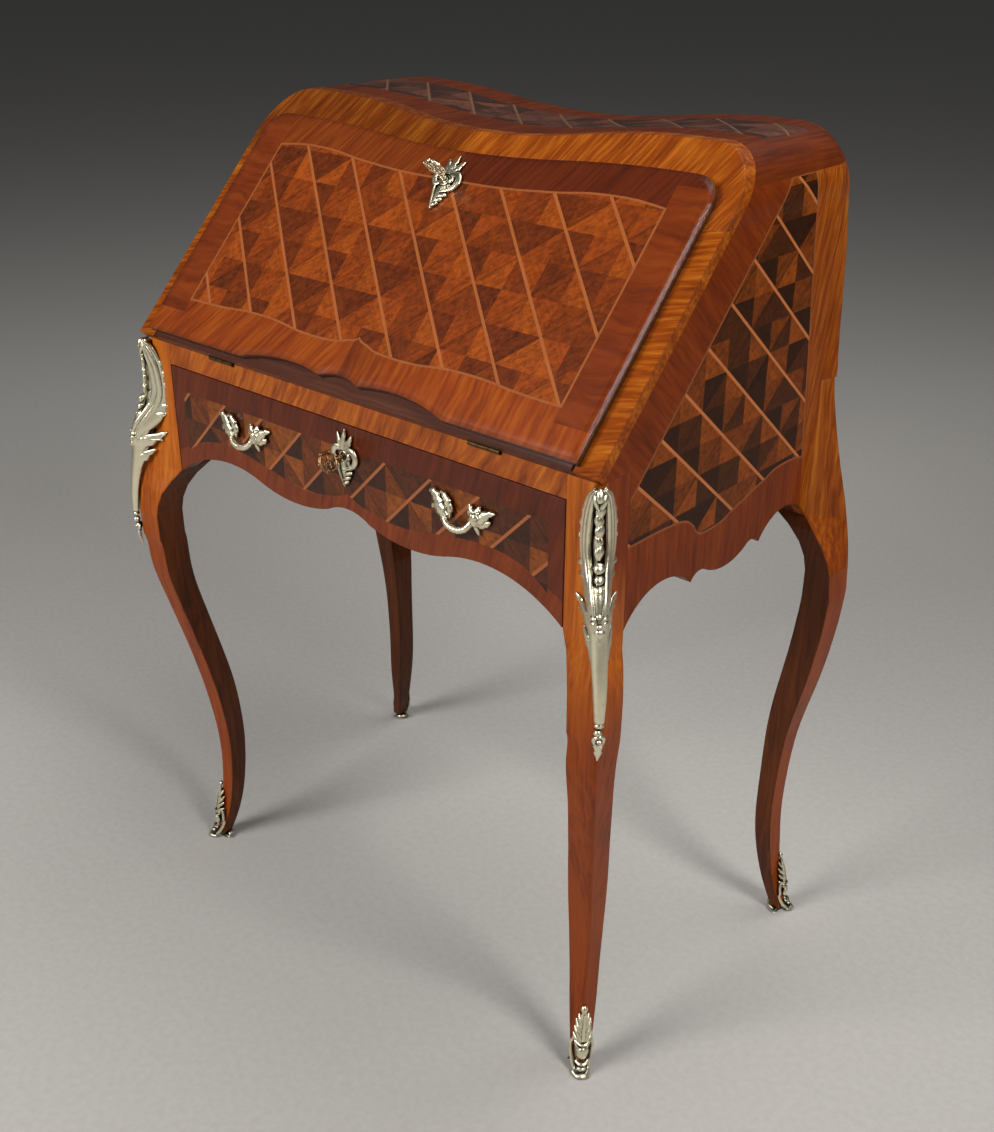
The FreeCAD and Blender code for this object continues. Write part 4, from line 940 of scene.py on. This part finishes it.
def lay_oval(cast):
    for inset, rise in RIBS:
        cast.pair([(max(u - inset * width / WIDEST, 0.6), z, -0.8, width, rise) for u, z, width in OVAL])
    cast.pair([(u - 2.5 * width, z, -1.8, 2.5 * width, 2.2) for u, z, width in OVAL], vein=0)
    # A gilt plate set deep behind the slits, where its hollow gets painted shade, so the slits read as
    # shade.
    cast.sprig([(0, 716, -12, 7, 1), (0, 690, -13, 10, 1), (0, 645, -12, 10, 1)], vein=0)
    cast.sprig([(0, 716, -5, 2.4, 2), (0, 690, -5.4, 3, 2), (0, 655, -5, 3.4, 2)],
               back=6, vein=0)


def lay_husks(cast):
    for index, height in enumerate((709, 700, 690, 680, 670)):
        sway = 1.2 * (-1) ** index
        cast.sprig([(sway * 0.4, height - 8, -3.4, 2.4, 3.4), (sway, height, -2.6, 4.6, 5),
                    (sway * 2.4, height + 6, -2.8, 2.2, 3.4)], steps=4)
        cast.sprig([(-sway, height - 7, -3.2, 1.6, 2.8), (-sway * 2.4, height - 1, -2.8, 2.2, 3.8),
                    (-sway * 3.2, height + 4, -3.2, 0.9, 2)], steps=4)
    for hand in (-1, 1):
        for spread, height, size in ((13.8, 702, 2.4), (15.6, 689, 2.2), (16.2, 676, 1.8)):
            cast.bead(spread * hand, height, -0.4, size * 0.8, size * 2, 2.2)
        for spread, height in ((15, 650), (13.2, 639)):
            cast.bead(spread * hand, height, -0.6, 3, 3.6, 3.2)
    cast.bead(0, 724, 0, 3.4, 7, 4)
    cast.pair([(1.6, 712, -1.4, 2.2, 3), (4.4, 721, -0.4, 2.6, 3.6), (6.2, 730, -1.6, 1.2, 1.8)])
    for height, size in ((656, 4.8), (646, 4.2), (637.5, 3.6)):
        cast.bead(0.6, height, -0.6, size, size * 1.1, size)
    cast.sprig([(0, 666, -5, 3.6, 3), (0, 650, -4.4, 4.6, 3.4), (0, 630, -3, 5.6, 3.6),
                (0, 612, -2.4, 8, 3)], back=3)


print("oval of", len(RIBS), "ribs a side")

# %% [markdown]
# Under the oval, pairs of leaves turn outwards from a small flower, and a smooth sheath runs down the leg to
# a drop. One leaf could be modelled and copied. They differ in length and turn, so each pair is its own
# short line of points, with its mirror image.

# %% Corner mount: leaves and drop
CHUTE_LOW, CHUTE_HIGH = 455, 729.0


def lay_leaves(cast):
    cast.pair([(13.4, 668, -1.8, 3, 3), (13, 650, -1.2, 3.4, 3.4), (9, 630, -1, 4.4, 4),
               (4.6, 610, -0.8, 3.6, 4.2), (1.4, 586, -0.6, 1.6, 2.4)], vein=0.25)
    cast.pair([(8.4, 652, -0.8, 1.4, 2.6), (5.8, 634, 0, 1.6, 3.4), (3, 614, 0.6, 1.6, 3.2),
               (0.8, 594, 0.8, 1, 2)], vein=0)
    cast.pair([(3, 584, -1, 4.4, 3.6), (7, 600, -0.8, 4.8, 4.2), (11.6, 609, -0.6, 3.6, 3.8),
               (15.4, 614, -0.6, 2.6, 3), (19, 618, -0.8, 1, 1.6)], teeth=4, bite=0.45, vein=0.45)
    cast.pair([(11, 606, 0, 1.2, 2.6), (14.6, 607, -0.2, 1.3, 2.6), (17, 606, -0.6, 0.7, 1.4)], steps=5)
    cast.pair([(4.6, 568, -1, 3.8, 3.2), (7.8, 580, -0.8, 3.4, 3.4), (10.6, 588, -0.6, 2.2, 2.8),
               (13.4, 594, -0.8, 0.9, 1.4)], teeth=3, bite=0.45, vein=0.45)
    for across, along in spots(6, 4.2, 4.8, 0.5):
        cast.bead(across, 611 + along, 1.8, 2.3, 2.6, 2.6)
    cast.bead(0, 599, 1, 4, 5, 3.4)
    cast.bead(0, 590, 0.2, 2.6, 4.6, 2.8)


def lay_drop(cast):
    cast.sprig([(0, 640, -2.4, 8.4, 2.8), (0, 612, -2.4, 9.4, 3), (0, 594, -2, 11, 3.6),
                (0, 566, -1.8, 9, 4.2), (0, 536, -1.6, 7.2, 4.2), (0, 508, -1.6, 5.6, 3.6)],
               vein=-0.6, around=14)
    cast.bead(0, 505, -0.4, 4.6, 3.4, 4)
    cast.bead(-1, 497, 0, 3.6, 4, 4.2)
    cast.ring(0.4, 487, -0.4, 4.4, 2.2)
    cast.bead(0.4, 487, 0.4, 2.2, 2.6, 3.2)
    cast.sprig([(0, 482, -1, 4.4, 4), (0, 474, -1, 3.6, 3.6), (0, 463, -1.8, 1.2, 1.8)], teeth=2)


def make_chute(name, side):
    cast = Casting()
    for lay in (lay_oval, lay_husks, lay_leaves, lay_drop):
        lay(cast)
    table = corner_line("chute_" + name, side, -1, CHUTE_LOW, CHUTE_HIGH)
    wood = corner_line("leg_front_" + name, side, -1, CHUTE_LOW, CHUTE_HIGH)
    place = corner_place(table, side, -1, 0.75, wood)
    cast.finish("chute_mount_" + name, place, "carcass", "chute_" + name, GILT)


make_chute("right", 1)
make_chute("left", -1)

# %% [markdown]
# Each foot wears a sabot, a gilt shoe that guards the veneer: a leaf up the corner, a collar with a pendant,
# and scrolls at the toe. It could be a plain cap with a bump on it, but its outline against the floor is
# what one sees, so its leaves are modelled and folded round the foot's corner.

# %% Sabots
def make_sabot(end, name, side, facing):
    cast = Casting()
    cast.sprig([(0, 41, -0.4, 7.6, 2.8), (0, 52, -0.2, 6.6, 3.2), (0, 64, 0, 5.8, 3.2), (0, 74, 0, 4, 3),
                (0, 80, 0, 2, 2.2)], vein=0.4)
    for base, tip, reach in ((42, 50, 11.4), (50, 59, 10), (56, 68, 9), (66, 76, 6.2)):
        cast.pair([(reach * 0.3, base, 0, 2.4, 3.2), (reach * 0.7, (base + tip) / 2, -0.4, 2.4, 3.2),
                   (reach, tip, -1.8, 0.7, 1.4)], steps=6)
    cast.sprig([(0, 46, 1.4, 1.2, 2.4), (0, 62, 1.6, 1.2, 2.6), (0, 78, 1, 0.8, 1.8)], steps=6)
    cast.bead(0, 84.5, 0.8, 3, 4.6, 3)
    cast.sprig([(-8.6, 42.5, 0.2, 1.5, 2.4), (0, 41, 1.6, 1.9, 3.2), (8.6, 42.5, 0.2, 1.5, 2.4)], vein=0)
    cast.pair([(8, 41.5, 0.2, 1.4, 2.4), (5, 37.5, 1, 1.5, 2.6), (3, 35.5, 1.4, 1, 2)], steps=6)
    cast.bead(0, 28.5, 0.6, 6.6, 8.6, 3.4)
    cast.pair([(9.6, 45, -0.8, 1.5, 2.2), (12.6, 35, -1, 1.4, 2.4), (12.2, 22, -1, 1.6, 2.6),
               (9.4, 12, -0.4, 2, 2.8), (7, 6, 0.4, 1.6, 2.4)])
    cast.sprig([(-6.4, 17, 0.6, 1.6, 2.6), (0, 15.6, 2, 1.8, 3), (6.4, 17, 0.6, 1.6, 2.6)], vein=0)
    cast.bead(0, 10.4, 2, 4, 2.6, 3.4)
    cast.sprig([(-8.6, 4.6, 0.2, 1.8, 2.6), (-4.4, 2.8, 1.8, 2.4, 3.4), (0, 4, 2.6, 1.8, 3.2),
                (4.4, 2.8, 1.8, 2.4, 3.4), (8.6, 4.6, 0.2, 1.8, 2.6)], vein=0.2)
    # A gilt plate behind the collar's openings, where its hollow gets painted shade, so the holes read as
    # shade.
    cast.sprig([(0, 47, -3.8, 10.5, 1), (0, 30, -3.8, 11.5, 1), (0, 6, -3.4, 9.5, 1)], vein=0)
    cast.bead(0, 4.4, -15, 12, 4.4, 13)
    plain = f"sabot_{end}_{name}"
    place = corner_place(corner_line(plain, side, facing, 2, 70), side, facing, 0.95)
    cast.finish(f"sabot_leaf_{end}_{name}", place, "carcass", plain, GILT)


for end, facing in (("front", -1), ("back", 1)):
    make_sabot(end, "right", 1, facing)
    make_sabot(end, "left", -1, facing)

# %% [markdown]
# A drawer pull is one casting: a ringed bail slung between a curled leaf on the left and a flower on the
# right. The two ends could mirror each other, but on this desk they don't, so each is laid leaf by leaf,
# straight onto the drawer's flat face.

# %% Pulls
FRONT = -193.9
PULL_HEIGHT = 668.0
PULL_SPREAD = 165.0


def on_drawer(shift_x, shift_z):
    """Puts a casting on the drawer's face. Its own along is upwards."""
    def place(u, v, w):
        return u + shift_x, FRONT - w, v + shift_z
    return place


def make_pull(name, middle):
    cast = Casting()
    cast.sprig([(-16, -21, 6, 4.5, 5), (-22, -13, 5, 7.5, 6), (-29, -4, 3.4, 6, 5), (-36, 0.5, 2.5, 3.4, 4),
                (-40, -1.5, 2, 1.2, 2.5)], teeth=6, steps=10)
    cast.sprig([(-17, -24, 4, 4, 4), (-25, -17, 3, 5, 4), (-33, -14, 2.4, 3.5, 3.4), (-37, -18, 2, 1.6, 2)],
               teeth=4)
    cast.sprig([(-15, -20, 4, 4, 4), (-13, -11, 3.4, 4.6, 4.4), (-18, -2, 3, 4, 4),
                (-25, 2.5, 2.4, 1.4, 2)], teeth=4)
    cast.sprig([(-17, -20, 4, 3.4, 4), (-22, -26, 3, 3.2, 3.4), (-23, -30, 2, 1.2, 2)])
    cast.sprig([(-18, -20, 6, 3.4, 3.4), (-12, -25.5, 10, 3.3, 3.3), (0, -28.5, 11, 3.6, 3.6),
                (12, -25.5, 10, 3.3, 3.3), (19, -17, 6, 3.4, 3.4)],
               teeth=12, bite=0.22, vein=0, back=1, steps=12)
    cast.sprig([(19, -18, 5, 5, 5), (24, -9, 5, 6.5, 6), (27, 1, 3, 1.4, 2.4)], teeth=3)
    cast.sprig([(20, -16, 5, 5, 5), (30, -10, 4.4, 6, 5.6), (38, -4, 3, 3.6, 4), (46, -1.5, 2, 1, 2)],
               teeth=4)
    cast.sprig([(21, -17, 4, 4, 4), (32, -16, 3.4, 4.6, 4.4), (40, -12, 2.4, 1.6, 2.4)], teeth=3)
    cast.sprig([(20, -16, 4, 4, 4.4), (16, -6, 3.4, 4, 4), (13, 0, 2.4, 1.2, 2)], teeth=3)
    cast.sprig([(21, -17, 4, 3.6, 4), (24, -25, 3, 2.8, 3.2), (25, -30, 2, 1, 1.8)])
    cast.bead(25, -9, 7.5, 4.5, 4.5, 4.5)
    for across, along in spots(6, 4.6, 4.6):
        cast.bead(25 + across, -9 + along, 6.4, 2.6, 2.6, 3)
    cast.bead(-16, -21, 3, 4.6, 4.6, 5.5)
    cast.finish("pull_" + name, on_drawer(middle, PULL_HEIGHT), "drawer", "handle_" + name, GILT)


make_pull("left", -PULL_SPREAD)
make_pull("right", PULL_SPREAD)

# %% [markdown]
# An escutcheon frames each keyhole: three tall leaves above, two scrolls round a cartouche, and a lobed leaf
# that hangs to one side. It could be cut from a flat plate, but cast leaves overlap. The drawer and the lid
# wear the same casting, and only the rule that lays it down differs.

# %% Escutcheons
DRAWER_LOCK_HEIGHT = 670.0
LID_LOCK_ALONG, LID_FACE_OUT = 254, 21.0


def on_lid(shift_along, shift_out):
    """Puts a casting on the lid's slant. Its own along is up the slant."""
    def place(u, v, w):
        along, out = v + shift_along, w + shift_out
        y = HINGE_Y + along * math.cos(SLANT) - out * math.sin(SLANT)
        z = HINGE_Z + along * math.sin(SLANT) + out * math.cos(SLANT)
        return u, y, z
    return place


def make_escutcheon(name, place, body):
    cast = Casting()
    cast.bead(0, 1, 0.6, 8, 13, 1.8)
    cast.sprig([(0, 7, 2, 5, 3), (1, 18, 2.6, 4, 3.4), (2.4, 30.5, 1.6, 0.8, 1.4)], teeth=3)
    cast.sprig([(-3, 8, 1.6, 4, 3), (-6, 17, 2, 3.2, 3), (-9.5, 25, 1.2, 0.8, 1.2)], teeth=3)
    cast.sprig([(4, 8, 1.6, 4.2, 3), (8.5, 17, 2, 3.4, 3), (12.5, 25, 1.2, 0.8, 1.2)], teeth=3)
    cast.sprig([(-4, 9, 1.6, 3.6, 3.2), (-12, 8, 2, 4, 3.4), (-15.5, 1, 1.6, 3.4, 3.2),
                (-11.5, -5, 1.6, 3, 2.8), (-6, -3.5, 1.6, 2.2, 2.4)])
    cast.sprig([(4, 7, 1.8, 3.6, 3.2), (13, 7.5, 2.2, 4, 3.6), (17.5, 0, 2, 3.8, 3.6),
                (14, -8, 1.8, 3.2, 3.2), (8, -8.5, 1.8, 2.6, 2.8), (7.5, -4, 1.8, 2, 2.2)])
    cast.bead(8, 1, 2.4, 3.4, 4.4, 2.8)
    cast.sprig([(-2, -7, 0.8, 5, 2), (-1, -16, 1, 6, 2.4), (-1, -25, 0.8, 3.6, 2),
                (-1, -34, 0.4, 0.8, 1.2)], vein=0)
    cast.sprig([(-9.5, -7, 1.6, 1.2, 2.4), (-7.4, -14, 2, 1.7, 3.2), (-4, -24, 1.8, 1.4, 2.8),
                (-1, -35, 1, 0.8, 1.6)], vein=0)
    for reach, height, size in ((10.4, -11, 2.6), (9.4, -17, 2.5), (7, -22.5, 2.1), (4.6, -27.5, 1.7)):
        cast.sprig([(-3, height - 5, 1.4, 1.4, 2.4), (reach * 0.5, height - 2, 2.2, 2, 3.4),
                    (reach, height, 1.2, size, 3)], steps=5)
        cast.bead(reach, height, 1.6, size, size, 3)
    cast.ring(0, 0, 2.4, 5.2, 1.3)
    cast.finish(name + "_plate", place, body, name, GILT)


drawer_lock = on_drawer(0, DRAWER_LOCK_HEIGHT)
lid_lock = on_lid(LID_LOCK_ALONG, LID_FACE_OUT)
make_escutcheon("drawer_escutcheon", drawer_lock, "drawer")
make_escutcheon("lid_escutcheon", lid_lock, "lid")

# %% [markdown]
# The keys have a turned shank with three collars and a bow pierced by five rings. A key could be cut from a
# disc with booleans, but hoops and beads give the same open bow as clean meshes. Each key rides on its own
# body. The drawer's was left part turned.

# %% Keys
BOW_MIDDLE = 24.8
DRAWER_KEY_TURN = math.radians(-62)


def make_key(name, lock, turn, look):
    """A key whose own along is the way out of the lock."""
    cast = Casting()
    cast.sprig([(0, -6, 0, 2.15, 2.15), (0, BOW_MIDDLE - 10, 0, 2.15, 2.15)], vein=0, back=1, steps=6)
    for height, size in ((3.2, 3.8), (6.4, 3), (10.5, 3.4)):
        cast.bead(0, height, 0, size, 1.3, size)
    cast.ring(0, BOW_MIDDLE, 0, 10.4, 1.9)
    cast.bead(0, BOW_MIDDLE, 0, 2.2, 2.2, 1.6)
    for across, along in spots(5, 5.8, 5.8, 0.25):
        cast.ring(across, BOW_MIDDLE + along, 0, 3.2, 0.9)
    for across, along in spots(6, 11, 11, 0.5):
        cast.bead(across, BOW_MIDDLE + along, 0, 2.1, 2.1, 2.2)

    def turned(u, v, w):
        across = u * math.cos(turn) - w * math.sin(turn)
        rise = u * math.sin(turn) + w * math.cos(turn)
        return lock(across, rise, v)
    cast.finish(name + "_casting", turned, name, name, look)


make_key("drawer_key", drawer_lock, DRAWER_KEY_TURN, DARK_GILT)
make_key("lid_key", lid_lock, 0, GILT)

# %% [markdown]
# The looks must not change the size of the desk. This last cell only brings the scene up to date.

# %% Bring the scene up to date
bpy.context.view_layer.update()
